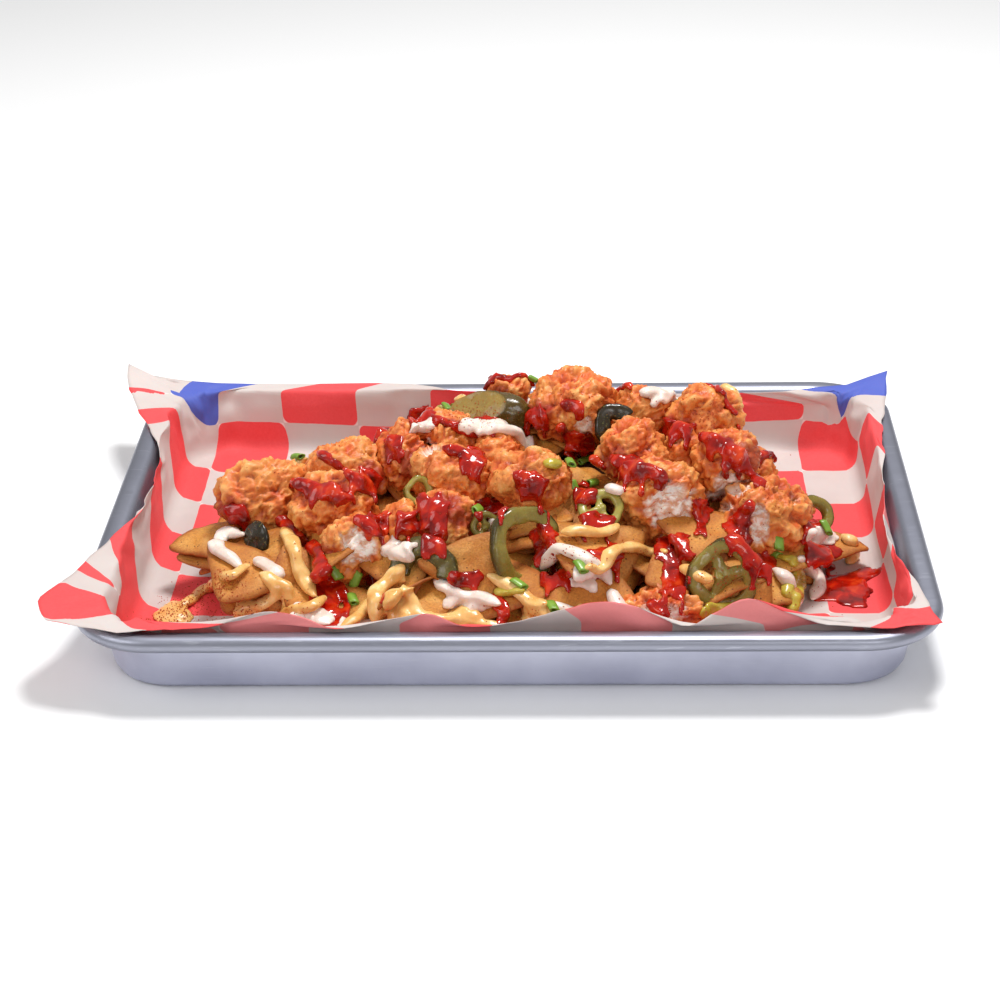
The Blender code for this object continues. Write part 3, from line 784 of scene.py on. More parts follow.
# Chips that show: (x, h) as seen, depth, side, curl, lean, roll, turn.
CHIPS = (
    (-124, 9, -27, 42, 4, 8, -6, 96), (-112, -3, -60, 48, 4, 10, 12, 40),
    (-92, 1, -55, 48, 3, 60, 46, 10), (-103, 3, -46, 42, 3, 22, -14, 80),
    (-91, -14, -64, 42, 3, 52, 22, 25), (-64, -31, -80, 44, 3, 6, 8, 15),
    (-38, -19, -78, 46, 3, 16, -12, 50), (-19, -5, -72, 42, 3, 50, 8, 95),
    (-29, -24, -80, 48, 4, 12, 14, 20), (3, -27, -80, 56, 4, 12, -8, 62),
    (31, -16, -78, 46, 5, 34, 10, 10), (37, 20, -52, 54, 2, -4, -12, 33),
    (40, 13, -58, 54, 3, -8, -2, 75), (49, -4, -72, 60, 4, 22, 10, 40),
    (60, -14, -80, 46, 3, 30, -22, 85), (105, -14, -62, 34, 3, 12, 14, 30),
    (98, -22, -74, 34, 3, 58, -16, 70), (25, 46, -24, 48, 3, 12, -10, 20),
    (-48, 0, -62, 44, 3, 20, -14, 65), (-80, -24, -76, 46, 3, 8, 14, 50),
    (72, -2, -58, 52, 3, 16, 16, 15), (20, -1, -68, 58, 4, 4, 12, 70),
    (112, 4, -36, 44, 3, 6, 14, 35), (-10, 26, -44, 50, 3, 10, 6, 85),
    (-72, 10, -50, 46, 3, 8, -16, 30), (77, 14, -46, 46, 3, 10, 10, 60),
    (40, 34, -36, 46, 3, 6, -12, 100), (14, -32, -82, 44, 3, 5, 12, 44),
    (42, -32, -81, 44, 3, 8, -12, 5), (-44, -34, -82, 44, 3, 6, 8, 70),
    (-86, -30, -80, 44, 3, 4, -10, 110), (-4, -14, -74, 44, 3, 16, -12, 15),
    (30, 6, -62, 48, 3, 2, 10, 50), (64, -24, -82, 40, 3, 12, 10, 25),
    (10, 8, -62, 44, 3, -2, -10, 20), (54, 12, -56, 46, 3, 0, 14, 80),
    (-24, 4, -66, 44, 3, 6, 16, 110), (88, -10, -66, 42, 3, 8, -14, 20))
MOST_HIDDEN_BY_PLACED = 0.22
# How many, nearest and farthest y, smallest and largest side, most of a topping they may hide.
SCATTERED_CHIPS = (
    (84, -98, 20, 30, 46, 0.10), (72, 12, 92, 30, 46, 0.22), (30, -60, 60, 34, 46, 0.05))
LEAN_WITH_SLOPE = 0.5


def kept_in(points):
    """The same points, bent to stay inside the lined pan."""
    low = np.clip((points[:, 2] - 2) * 0.2, 0, 5)
    points[:, 0] = np.clip(points[:, 0], -144 - low, 144 + low)
    points[:, 1] = np.clip(points[:, 1], -101 - low, 101 + low)
    points[:, 2] = np.maximum(points[:, 2], 2.7)
    return points


def toppings_surface():
    """All toppings that have a node, as one surface."""
    names = [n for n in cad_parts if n.startswith(("chicken", "pickle", "pepper"))]
    points, faces = joined([node_solid(n) for n in names])
    return BVHTree.FromPolygons(points.tolist(), faces.tolist())


def covering(toppings, points, from_front):
    """The share of points that lie over a topping, seen from the front or from above."""
    over = 0
    for point in points[::5]:
        away = point - LENS
        reach = np.linalg.norm(away)
        found = toppings.ray_cast(Vector(LENS), Vector(away))
        hides = from_front and found[0] is not None and found[3] > reach + 0.5
        found = toppings.ray_cast(Vector((point[0], point[1], 200.0)), Vector((0, 0, -1)))
        hides = hides or (found[0] is not None and found[0].z < point[2] - 0.5)
        over += hides
    return over / len(points[::5])


def make_chips(food, mat):
    solids, toast = [], []
    toppings = toppings_surface()

    def put(points, faces, brown):
        solids.append((points, faces))
        toast.append(brown)

    for number, (x, h, y, side, curl, lean, roll, turn) in enumerate(CHIPS):
        points, faces, brown = chip_solid(side, curl, number + 1)
        chip = kept_in(placed(points, seen(x, h, y), lean, roll, turn))
        if covering(toppings, chip, True) < MOST_HIDDEN_BY_PLACED:
            put(chip, faces, brown)
    heap_points, heap_faces = node_solid("chip_heap")
    heap = BVHTree.FromPolygons(heap_points.tolist(), heap_faces.tolist())
    rng = random.Random(11)
    low, high = heap_points.min(axis=0), heap_points.max(axis=0)
    for count, near, far, least, most, hidden in SCATTERED_CHIPS:
        made = tried = 0
        while made < count and tried < 1400:
            tried += 1
            x, y = rng.uniform(low[0] + 6, high[0] - 6), rng.uniform(near, far)
            place, normal, _, _ = heap.ray_cast(Vector((x, y, 200)), Vector((0, 0, -1)))
            if place is None or place.z < 5:
                continue
            lean = -LEAN_WITH_SLOPE * math.degrees(math.asin(normal.y)) + rng.uniform(-22, 22)
            roll = LEAN_WITH_SLOPE * math.degrees(math.asin(normal.x)) + rng.uniform(-24, 24)
            points, faces, brown = chip_solid(rng.uniform(least, most), rng.uniform(1, 5),
                                              100 + tried)
            centre = np.array(place) + np.array(normal) * rng.uniform(-3.0, 2.0)
            chip = placed(points, centre, lean, roll, rng.uniform(0, 120))
            if chip[:, 2].min() > 1.2 and covering(toppings, chip, y < 20) < hidden:
                put(kept_in(chip), faces, brown)
                made += 1
    points, faces = joined(solids)
    obj = add_piece("tortilla_chips", points, faces, mat,
                    {"look": np.vstack(toast)})
    food.add(points, faces)
    return obj


CORE_SIZE = (0.86, 0.84, 1.0)    # of the heap's solid, which the loose chips bring to full size
CORE_HEIGHT = 0.86
CORE_DROP = 2.5


def make_core(mat):
    points, faces = node_solid("chip_heap")
    floor = points[:, 2].min()
    inner = points * CORE_SIZE
    inner[:, 2] = floor - 0.3 + np.maximum(0, (points[:, 2] - floor) * CORE_HEIGHT - CORE_DROP)
    core = add_piece("chip_core", inner, faces, mat)
    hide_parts("chip_heap")
    return inner, faces


def make_lone_chips(food, mat):
    """The chips that lie clear of the heap each take the place of their node."""
    for number, name in enumerate(sorted(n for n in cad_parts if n.startswith("chip_0"))):
        base, _ = node_solid(name)
        middle = base.mean(axis=0)
        _, _, axes = np.linalg.svd(base - middle, full_matrices=False)
        if axes[2][2] < 0:
            axes[2] = -axes[2]
        if np.linalg.det(axes) < 0:
            axes[1] = -axes[1]
        local = (base - middle) @ axes.T
        reach = np.hypot(local[:, 0], local[:, 1])
        tip = local[reach.argmax()]
        points, faces, brown = chip_solid(1.06 * reach.max() * math.sqrt(3) * 1.04, 5, 300 + number)
        spin = math.atan2(tip[1], tip[0]) - math.pi / 2
        turned = points @ np.array(Matrix.Rotation(spin, 3, "Z")).T
        points = turned @ axes + middle
        obj = add_piece(f"loose_{name}", points, faces, mat, {"look": brown})
        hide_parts(name)
        food.add(points, faces)


# ---------------------------------------------------------------- fried chicken
# Torn faces that show white meat, as seen: x, h and half sizes.
MEAT = (
    (-65, 5, 8, 10), (66, 23, 9.5, 12), (89, 34, 7, 6), (85, 27, 5, 6), (102.5, 15, 4.5, 9),
    (62, -26, 14, 4.5), (30, 59, 4, 6), (-33, 50, 5, 4), (97, 34, 3, 3))
# Crust stained by sauce, as seen.
STAINS = (
    (-116, 24, 8, 6), (-36, 64, 9, 5), (-20, 61, 10, 3), (-42, 44, 5, 8), (12, 66, 6, 7),
    (68, 60, 8, 5), (84, 52, 9, 5), (96, 45, 7, 9), (44, 44, 9, 9), (8, 34, 8, 8), (-25, 20, 8, 10),
    (-80, 2, 10, 8), (95, 18, 6, 12), (-60, 38, 9, 8), (-75, 31, 12, 5), (62, -6, 10, 10))


def seen_in(points, zones, seed):
    """How far each point lies inside any of the zones, with ragged edges."""
    places = front_places(points)
    ragged = 0.35 * fractal(points, 4.0, seed, 2)
    best = np.full(len(points), -1.0)
    for x, h, half_x, half_h in zones:
        away = np.hypot((places[:, 0] - x) / half_x, (places[:, 1] - h) / half_h)
        best = np.maximum(best, 1 - away + ragged)
    return best


def make_chicken(food, mat):
    for name in sorted(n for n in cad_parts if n.startswith("chicken")):
        seed = int(name[-2:])
        base, base_faces = node_solid(name)
        middle = base.mean(axis=0)
        points, faces, normals = remeshed(middle + (base - middle) * 1.05, base_faces, 0.85, 9)
        facing = (normals * (LENS - points)).sum(axis=1) > 0
        meat = step(seen_in(points, MEAT, seed), 0.0, 0.22) * facing
        stain = 0.8 * step(seen_in(points, STAINS, seed + 40), 0.0, 0.5) * facing
        drift = np.column_stack([fractal(points, 6, seed + k) for k in (31, 32, 33)])
        drifted = points + 2.4 * drift
        lumps = fractal(points, 12, seed, 2)
        folds = 1 - np.abs(fractal(drifted, 8, seed + 70, 3))
        knobs = 1 - np.minimum(cells(drifted, 2.3, seed), 1.0)
        crumbs = fractal(points, 1.5, seed + 20, 2)
        ragged = step(fractal(points, 5, seed + 50), -0.2, 0.5)
        height = (2.0 * lumps + 2.1 * (folds - 0.6) + (0.5 + 1.2 * ragged) * (knobs - 0.45)
                  + 0.55 * crumbs)
        fibre = fractal(points * (0.35, 1.0, 0.22), 0.9, seed + 5, 2)
        torn = -2.2 + 1.3 * fractal(points, 5.5, seed + 8) + 0.55 * fibre
        height = height * (1 - meat) + torn * meat
        points = points + normals * (height + 0.7)[:, None]
        # Relief height kept for the crust's colour: painted shade in the crevices and painted light
        # on the peaks.
        crag = 0.50 + 0.14 * lumps + 0.42 * (folds - 0.6) + 0.40 * (knobs - 0.45) + 0.12 * crumbs
        points[:, 2] = np.maximum(points[:, 2], 2.2)
        obj = add_piece(f"fried_{name}", points, faces, mat,
                        {"crag": crag, "meat": meat, "stain": stain * (1 - meat)})
        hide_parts(name)
        food.add(points, faces)


# ---------------------------------------------------------------- pickled pepper
def slice_axes(name):
    """Middle, axes (rows, the last one across the slice), radius and thickness of a slice."""
    base, _ = node_solid(name)
    middle = (base.min(axis=0) + base.max(axis=0)) / 2
    _, _, axes = np.linalg.svd(base - base.mean(axis=0), full_matrices=False)
    if axes[2] @ (LENS - middle) < 0:
        axes[2] = -axes[2]
    if np.linalg.det(axes) < 0:
        axes[1] = -axes[1]
    local = (base - middle) @ axes.T
    thickness = local[:, 2].max() - local[:, 2].min()
    radius = np.hypot(local[:, 0], local[:, 1]).max()
    return middle, axes, radius, thickness, local


def bar(start, end, thick, wide):
    """A rounded bar between two points, as an ellipsoid."""
    directions, faces = BALL
    along = np.asarray(end, dtype=float) - start
    length = np.linalg.norm(along)
    along = along / length
    side = np.cross((0, 0, 1), along)
    frame3 = np.array([along * (length / 2 + thick * 0.5), side * wide, (0, 0, thick)])
    return directions @ frame3 + (np.asarray(start) + end) / 2, faces


def ball(subdivisions=2):
    mesh = bpy.data.meshes.new("ball")
    bm = bmesh.new()
    bmesh.ops.create_icosphere(bm, subdivisions=subdivisions, radius=1.0)
    bm.to_mesh(mesh)
    bm.free()
    points, faces = read_mesh(mesh)
    bpy.data.meshes.remove(mesh)
    return points * MM, faces


BALL = ball(3)
DROP = ball(1)


def ring_solid(radius, band, thickness, squash, sweep=360.0, sides=64, start=0.0):
    """A pepper's wall cut across: a ring of rounded section, slightly lobed."""
    steps = int(sides * sweep / 360)
    closed = sweep >= 360
    count = steps if closed else steps + 1
    section = 12
    angles = np.radians(start + sweep * np.arange(count) / steps)
    around = np.arange(section) / section * math.tau
    lobes = 1 + 0.045 * np.cos(3 * angles + 0.6) + 0.02 * np.sin(5 * angles)
    r = radius * lobes - band / 2
    c, s = np.cos(around), np.sin(around)
    across = band / 2 * np.sign(c) * np.abs(c) ** 0.6
    up = thickness / 2 * np.sign(s) * np.abs(s) ** 0.6
    rr = r[:, None] + across[None, :]
    points = np.stack([rr * np.cos(angles)[:, None], rr * np.sin(angles)[:, None] * squash,
                       np.broadcast_to(up, rr.shape)], axis=-1).reshape(-1, 3)
    faces = []
    for i in range(steps):
        a, b = i * section, ((i + 1) % count) * section
        for k in range(section):
            n = (k + 1) % section
            faces += [(a + k, b + k, b + n), (a + k, b + n, a + n)]
    if not closed:
        last = (count - 1) * section
        for k in range(1, section - 1):
            faces += [(0, k, k + 1), (last, last + k + 1, last + k)]
    return points, np.array(faces)


# What each slice is: open ring, chambered, crescent or solid, and its share of wall.
SLICE_LOOKS = {
    "01": ("open", 0.42, "dark"), "02": ("chambered", 0.40, "dark"),
    "03": ("crescent", 0.62, "dark"), "04": ("solid", 0.4, "black"), "05": ("open", 0.46, "light"),
    "06": ("chambered", 0.44, "dark"), "07": ("chambered", 0.42, "light"),
    "08": ("crescent", 0.7, "black"), "09": ("open", 0.5, "dark"), "10": ("open", 0.42, "light"),
    "11": ("chambered", 0.38, "light"), "12": ("chambered", 0.40, "dark")}
CRESCENT_SWEEP = 200.0


def make_slices(food, mats):
    for name in sorted(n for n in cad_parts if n.startswith("pepper_slice")):
        kind, wall, look = SLICE_LOOKS[name[-2:]]
        seed = int(name[-2:])
        middle, axes, radius, thickness, local = slice_axes(name)
        band = radius * wall
        if kind == "crescent":
            flat = np.arctan2(local[:, 1], local[:, 0])
            gap = math.atan2(local[:, 1].mean(), local[:, 0].mean())
            centre_shift = np.array([local[:, 0].mean(), local[:, 1].mean()])
            solids = [ring_solid(radius, band, thickness, 1.0, CRESCENT_SWEEP, 64,
                                 math.degrees(gap) - CRESCENT_SWEEP / 2)]
            shift = -np.array([*centre_shift * 0.6, 0])
            solids = [(solids[0][0] + shift, solids[0][1])]
        elif kind == "solid":
            points, faces = BALL
            solids = [(points * (radius, radius, thickness * 0.62), faces)]
        else:
            solids = [ring_solid(radius, band, thickness, 0.95)]
        if kind == "chambered":
            for k in range(3):
                angle = math.radians(35 + 120 * k + 20 * math.sin(seed * 3 + k))
                out = np.array([math.cos(angle), math.sin(angle), 0]) * (radius - band)
                solids.append(bar(np.zeros(3), out, thickness * 0.34, radius * 0.17))
            points, faces = BALL
            solids.append((points * (radius * 0.30, radius * 0.26, thickness * 0.38), faces))
        points, faces = joined(solids)
        points, faces, normals = remeshed(points, faces, 0.55, 4)
        reach = np.hypot(points[:, 0], points[:, 1]) / radius
        rim = np.clip((reach - 0.72) / 0.26, 0, 1) ** 2
        if kind in ("crescent", "solid"):
            rim = np.clip(np.abs(normals[:, :2] @ np.ones(2)) * 0.2 + 0.75, 0, 1)
        points = points + normals * (0.22 * fractal(points, 3.2, seed)
                                     + 0.4 * fractal(points, 8, seed + 3))[:, None]
        points[:, 2] += 0.05 * radius * np.cos(2 * np.arctan2(points[:, 1], points[:, 0]) + seed)
        points = points @ axes + middle
        obj = add_piece(f"pickled_{name}", points, faces, mats[look],
                        {"rim": rim})
        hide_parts(name)
        food.add(points, faces)


def make_pickle(food, mat):
    base, base_faces = node_solid("pickle_01")
    points, faces, normals = remeshed(base, base_faces, 0.9, 16)
    middle = points.mean(axis=0)
    # A thick piece with one broad cut face turned up and to the left.
    cut = np.array([-0.42, -0.55, 0.72])
    cut = cut / np.linalg.norm(cut)
    height = (points - middle) @ cut
    limit = 5.2 + 0.5 * fractal(points, 8, 3)
    over = np.maximum(height - limit, 0)
    points = points - cut * over[:, None]
    points = points + normals * (0.35 * fractal(points, 4, 6, 2))[:, None]
    rim = np.clip(1.0 - over / 1.6, 0.12, 1.0)
    obj = add_piece("pickled_chunk", points, faces, mat, {"rim": rim})
    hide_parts("pickle_01")
    food.add(points, faces)


# ---------------------------------------------------------------- sauces
POUR_LIFT = 0.35                 # how far a poured drop stands off, in drop heights
PATCH_STEP = 1.5                 # between the drops of a coat and of a pool, mm
POOL_STEP = 1.8
POOL_CEILING = 9                 # a pool only lies on the paper, below this height, mm
STRAND_TAPER = 0.5
STRAND_GAP = 3.0                 # how far a strand may hang clear of what is under it, mm


class Sauce:
    """Drops that are merged into one smooth skin."""

    def __init__(self, food, seed):
        self.food = food
        self.rng = random.Random(seed)
        self.solids = []

    def drop(self, place, normal, wide, high):
        points, faces = DROP
        up = Vector(normal).normalized()
        spin = np.array(up.to_track_quat("Z", "Y").to_matrix())
        self.solids.append((points * (wide, wide, high) @ spin.T + place, faces))

    def pour(self, path, width, height=None):
        """A run of sauce over whatever lies under the seen path of (x, h) points."""
        height = height or width * 0.5
        track = smooth_path(path, 0.9)
        count = len(track)
        for k, (x, h) in enumerate(track):
            swell = 1 + 0.22 * math.sin(k * 0.35 + self.rng.random() * 0.3) * min(1, count / 12)
            found = self.food.hit(x, h)
            if found is not None:
                place, normal = found
                centre = place + normal * height * POUR_LIFT
                self.drop(centre, normal, width / 2 * swell, height / 2)

    def patch(self, x, h, half_x, half_h, height):
        """A coat over everything seen inside an uneven oval."""
        for gx in np.arange(-half_x * 1.3, half_x * 1.3, PATCH_STEP):
            for gh in np.arange(-half_h * 1.3, half_h * 1.3, PATCH_STEP):
                ragged = noise.noise(Vector(((x + gx) / 4.5, (h + gh) / 4.5, 7.0)))
                if math.hypot(gx / half_x, gh / half_h) > 0.95 + 0.6 * ragged:
                    continue
                found = self.food.hit(x + gx, h + gh)
                if found is not None:
                    place, normal = found
                    away = place - LENS
                    facing = abs(normal @ away) / np.linalg.norm(away)
                    inner = max(0.0, 1 - (gx / half_x) ** 2 - (gh / half_h) ** 2) ** 0.5
                    high = height * (0.32 + 0.36 * inner)
                    wide = 1.6 / max(0.4, facing)
                    self.drop(place + normal * high * 0.25, normal, wide, high)

    def pool(self, x, y, half_x, half_y, high):
        """A flat pool around (x, y) in plan, with a wandering edge."""
        for gx in np.arange(-half_x * 1.3, half_x * 1.3, POOL_STEP):
            for gy in np.arange(-half_y * 1.3, half_y * 1.3, POOL_STEP):
                ragged = noise.noise(Vector(((x + gx) / 11, (y + gy) / 11, 3.0)))
                if math.hypot(gx / half_x, gy / half_y) > 0.95 + 0.7 * ragged:
                    continue
                found = self.food.below(x + gx, y + gy)
                if found is not None and found[0][2] < POOL_CEILING:
                    self.drop(found[0], found[1], 2.4, high)

    def strand(self, path, width):
        """A thick string that lies over the high points of what is under it and hangs between.
        Each point is (x, h) or (x, h, y) where it doesn't touch what lies behind."""
        places = []
        for point in path:
            if len(point) == 3:
                places.append(seen(*point))
                continue
            found = self.food.hit(*point)
            if found is not None:
                places.append(found[0] + found[1] * width * 0.26)
        if len(places) < 2:
            return
        track = smooth_path(places, 0.7)
        for place in track:
            ground = self.food.below(place[0], place[1])
            if ground is not None:
                place[2] = min(place[2], ground[0][2] + width * 0.28 + STRAND_GAP)
        reach = min(6, len(track) // 3)
        padded = np.pad(track[:, 2], reach, mode="edge")
        track[:, 2] = np.convolve(padded, np.ones(2 * reach + 1) / (2 * reach + 1), "valid")
        track = smooth_path(track[::3], 0.7)
        count = len(track)
        for k, place in enumerate(track):
            end = min(k, count - 1 - k) / max(1.0, count * 0.5)
            swell = (1 - STRAND_TAPER) + STRAND_TAPER * min(1.0, end * 4)
            swell *= 1 + 0.10 * math.sin(k * 0.23 + width * 9)
            self.drop(place, (0, 0, 1), width / 2 * swell, width * 0.34 * swell)

    def make(self, name, mat, voxel=0.65, smooth=8, relief=0.15):
        points, faces = joined(self.solids)
        points, faces, normals = remeshed(points, faces, voxel, smooth)
        points = points + normals * (relief * fractal(points, 5, len(name)))[:, None]
        points[:, 2] = np.maximum(points[:, 2], 2.1)
        return points, faces, add_piece(name, points, faces, mat)


def make_red(food, mat):
    red = Sauce(food, 1)
    for args in (
            ((-116, 22), (-113, 18)), ((-78, 48), (-72, 44), (-66, 38), (-62, 33)),
            ((-90, 35), (-80, 33), (-70, 28)), ((-64, 18), (-56, 14), (-52, 20)),
            ((-96, 18), (-90, 12), (-84, 6), (-80, 0), (-78, -8)),
            ((-82, -2), (-78, -10), (-80, -20), (-78, -30)),
            ((-74, -12), (-70, -22), (-74, -32)), ((-60, -8), (-56, -16), (-50, -26), (-53, -33)),
            ((-37, 28), (-34, 20), (-30, 12), (-33, 4)),
            ((-36, 62), (-30, 63), (-22, 60), (-14, 57)),
            ((-26, 50), (-20, 48), (-13, 44), (-16, 38)), ((2, 38), (8, 36), (10, 30)),
            ((20, 60), (24, 55), (30, 48), (38, 42)), ((22, 70), (28, 68), (28, 64)),
            ((-14, 26), (-8, 26), (-3, 22)), ((32, 19), (38, 16), (34, 13)),
            ((42, 45), (48, 42), (52, 38)), ((56, 41), (62, 36), (60, 32)),
            ((64, 62), (70, 58), (74, 60)), ((78, 55), (86, 52), (92, 46), (98, 38), (102, 33)),
            ((98, 24), (94, 18), (92, 10), (96, 2), (102, -4), (106, -9)),
            ((-8, -20), (-4, -26), (-7, -34)), ((58, -22), (63, -27)), ((32, 2), (38, 0), (42, -4)),
            ((68, -2), (64, -8), (70, -16)), ((120, 8), (126, 2), (132, -6))):
        red.pour(args, red.rng.uniform(5.0, 7.0), 2.2)
    for args in (
            (-115, 22, 5, 5, 2.4), (-60, 36, 7, 6, 2.6), (-78, 31, 9, 4, 2.6), (-56, 16, 6, 7, 3.0),
            (-80, -14, 7, 12, 3.0), (-78, -28, 7, 6, 3.0), (-50, -22, 6, 6, 2.8),
            (-32, 18, 6, 12, 3.0), (-20, -10, 9, 5, 3.0), (-36, 66, 6, 4, 2.4),
            (-48, 52, 5, 5, 2.4), (-16, 46, 5, 6, 2.4), (-10, 62, 7, 3, 2.2), (8, 34, 7, 7, 2.8),
            (11, 64, 5, 5, 2.2), (28, 52, 6, 6, 2.6), (49, 41, 7, 6, 2.8),
            (67, 58, 6, 4, 2.6), (86, 51, 7, 4, 2.4), (92, 45, 5, 5, 2.4), (-9, 24, 6, 4, 2.4),
            (36, 16, 8, 5, 2.6), (18, -10, 9, 5, 2.2), (40, 0, 6, 6, 2.8), (67, 4, 9, 8, 2.8),
            (68, -12, 6, 9, 2.6), (93, 12, 5, 10, 3.0), (103, -4, 6, 7, 3.0), (13, 8, 5, 12, 2.0),
            (78, 22, 4, 7, 2.2), (128, 2, 7, 6, 2.6),
            (124, 12, 5, 6, 2.4), (30, 30, 6, 5, 2.2), (-44, 16, 4, 7, 2.2)):
        x, h, half_x, half_h, high = args
        red.patch(x, h, half_x * 0.85, half_h * 0.85, high * 0.75)
        for side in (-0.6, 0.5):
            start = x + side * half_x
            fall = red.rng.uniform(0.7, 1.6) * half_h + 2
            sway = red.rng.uniform(-2.5, 2.5)
            red.pour(((start, h + half_h * 0.4), (start + sway, h - fall * 0.5),
                      (start + sway * 0.6, h - fall)), red.rng.uniform(3.0, 4.8), 1.9)
    red.pool(133, -22, 15, 25, 1.1)
    red.pool(-76, -86, 10, 8, 1.2)
    # Sauce that runs down the back and the ends of the heap.
    for x, y, turn in BACK_RUNS:
        spill_back(red, x, y, turn, 6.0, 34)
        spill_back(red, x + 6, y - 4, turn + 50, 4.6, 26)
    points, faces, _ = red.make("red_sauce", mat, 0.9, 4, 0.10)
    food.add(points, faces)


# Runs on the side away from the front: x, y and direction in plan, degrees.
BACK_RUNS = (
    (-84, 10, 100), (-60, 20, 80), (-34, 30, 95), (-14, 44, 70), (10, 46, 110), (24, 44, 60),
    (44, 34, 85), (66, 36, 70), (84, 30, 95), (96, 10, 50), (-100, 4, 130), (0, 62, 90),
    (56, 58, 100), (-48, 44, 60))


def spill_back(sauce, x, y, turn, width, steps=22):
    """A run that follows the ground from (x, y) in a direction in plan."""
    heading = math.radians(turn)
    for k in range(steps):
        heading += 0.16 * math.sin(k * 0.7 + x)
        x, y = x + 1.1 * math.cos(heading), y + 1.1 * math.sin(heading)
        found = sauce.food.below(x, y)
        if found is not None:
            place, normal = found
            sauce.drop(place + normal * 0.8, normal, width / 2 * (1 - 0.3 * k / steps), 1.4)


def make_white(food, mat):
    white = Sauce(food, 2)
    white.patch(-36, 60, 5, 2, 2.0)
    for path in (
            ((-111, 13), (-120, 10), (-124, 4), (-118, -2), (-115, -6)),
            ((-108, -2), (-102, -6), (-98, -9)), ((-92, -23), (-88, -26), (-80, -28)),
            ((-74, -32), (-66, -34), (-58, -31)), ((-52, 3), (-46, 2), (-41, -3)),
            ((-32, -12), (-24, -17), (-14, -20), (-6, -23)),
            ((14, 5), (20, 3), (26, 0), (32, -3), (37, -8), (40, -14)),
            ((14, -23), (22, -25), (27, -28)),
            ((40, -16), (44, -22), (46, -26)), ((118, -2), (124, -8), (128, -14), (125, -22)),
            ((108, -6), (114, -12), (120, -22)), ((124, 10), (128, 9)), ((-14, 22), (-8, 20)),
            ((-14, 57), (-6, 58), (2, 56), (8, 53)), ((53, 74), (58, 75), (62, 73)),
            ((40, 31), (44, 29))):
        white.strand(path, white.rng.uniform(6.0, 7.4))
    for args in ((-20, -22, 10, 4, 3.0), (-66, -33, 9, 3, 3.0), (-86, -28, 9, 3, 3.0),
                 (24, -27, 8, 3, 2.6), (128, 10, 5, 3.5, 3.0),
                 (-12, 60, 10, 3, 2.4), (-48, 4, 7, 4, 2.6), (30, -8, 5, 7, 2.6)):
        white.patch(*args)
    for x, y, turn in ((-70, 34, 60), (-10, 50, 20), (34, 60, 150), (80, 40, 200), (-96, 16, 90),
                       (6, 70, 10), (-40, 40, 130), (56, 48, 20)):
        spill_back(white, x, y, turn, 6.0, 30)
    points, faces, _ = white.make("white_sauce", mat, 0.72, 6, 0.10)
    food.add(points, faces)


def make_cheese(food, mat):
    cheese = Sauce(food, 3)
    for path in (
            ((-112, -5), (-120, -9), (-128, -15), (-138, -22), (-146, -27)),
            ((-104, -6), (-101, -13), (-103, -20), (-112, -24)),
            ((-98, -8), (-95, -16), (-96, -24), (-103, -28)),
            ((-116, -26), (-106, -27), (-96, -27), (-86, -24), (-80, -20)),
            ((-95, 12), (-92, 5), (-91, -4), (-88, -12), (-84, -20)),
            ((-46, -8), (-54, -14), (-60, -22), (-68, -30), (-74, -34)),
            ((-46, -14), (-42, -22), (-40, -28), (-32, -30), (-24, -30), (-14, -30), (-4, -32)),
            ((4, -26), (12, -25), (20, -27), (28, -24)),
            ((30, -6), (36, -2), (43, 2), (51, 4), (57, 0), (64, 2)),
            ((136, 8), (140, 6), (141, 0), (139, -5)),
            ((-46, -3), (-50, -10), (-56, -16), (-58, -24)),
            ((20, 10), (28, 12), (36, 10), (44, 14)), ((-10, -8), (-2, -14), (6, -20), (14, -22)),
            ((70, -6), (78, -10), (84, -8))):
        cheese.strand(path, cheese.rng.uniform(6.0, 7.8))
    for args in ((-144, -26, 6, 4, 4.0), (-113, -25, 6, 4, 4.4), (-48, -24, 7, 8, 3.6),
                 (-22, -29, 8, 4, 3.8), (14, -28, 9, 3, 3.4), (-36, -31, 9, 4, 3.2)):
        cheese.patch(*args)
    for x, y, turn in ((-56, 24, 120), (8, 56, 60), (60, 40, 30), (-88, 30, 200), (100, 14, 120),
                       (-20, 66, 170), (30, 74, 10), (-70, 40, 60)):
        spill_back(cheese, x, y, turn, 6.6, 30)
    points, faces, _ = cheese.make("cheese_sauce", mat, 0.72, 6, 0.12)
    food.add(points, faces)


def make_mustard(food, mat):
    mustard = Sauce(food, 4)
    for path in (
            ((110, 1), (115, -2), (117, -8), (114, -16), (113, -24)),
            ((116, -4), (119, -12), (117, -20), (112, -25)),
            ((96, -20), (90, -26), (84, -31)), ((86, -25), (92, -27), (78, -28)),
            ((-7, -17), (-2, -17), (4, -16)), ((14, 44), (20, 42)), ((-18, 34), (-16, 30))):
        mustard.strand(path, mustard.rng.uniform(5.6, 7.4))
    mustard.patch(87, -27, 9, 5, 3.2)
    for x, y, turn in ((20, 62, 20), (-26, 48, 160), (90, 36, 60)):
        spill_back(mustard, x, y, turn, 4.8)
    points, faces, _ = mustard.make("mustard_sauce", mat, 0.68, 6, 0.12)
    food.add(points, faces)


# ---------------------------------------------------------------- small toppings
ONIONS = (
    (-75, -7, 6, 20), (-66, -10, 7, -20), (30, 44, 7, 25), (24, 43, 5, 80), (33, 34, 5, 60),
    (28, -5, 6, 15), (16, -24, 6, 0), (2, -13, 6, -30), (-34, -32, 5, 10), (129, 13, 6, -30),
    (108, 1, 6, 20), (-68, -20, 6, 40), (-15, 22, 6, 70), (110, 6, 5, -10), (25, 33, 5, 0))


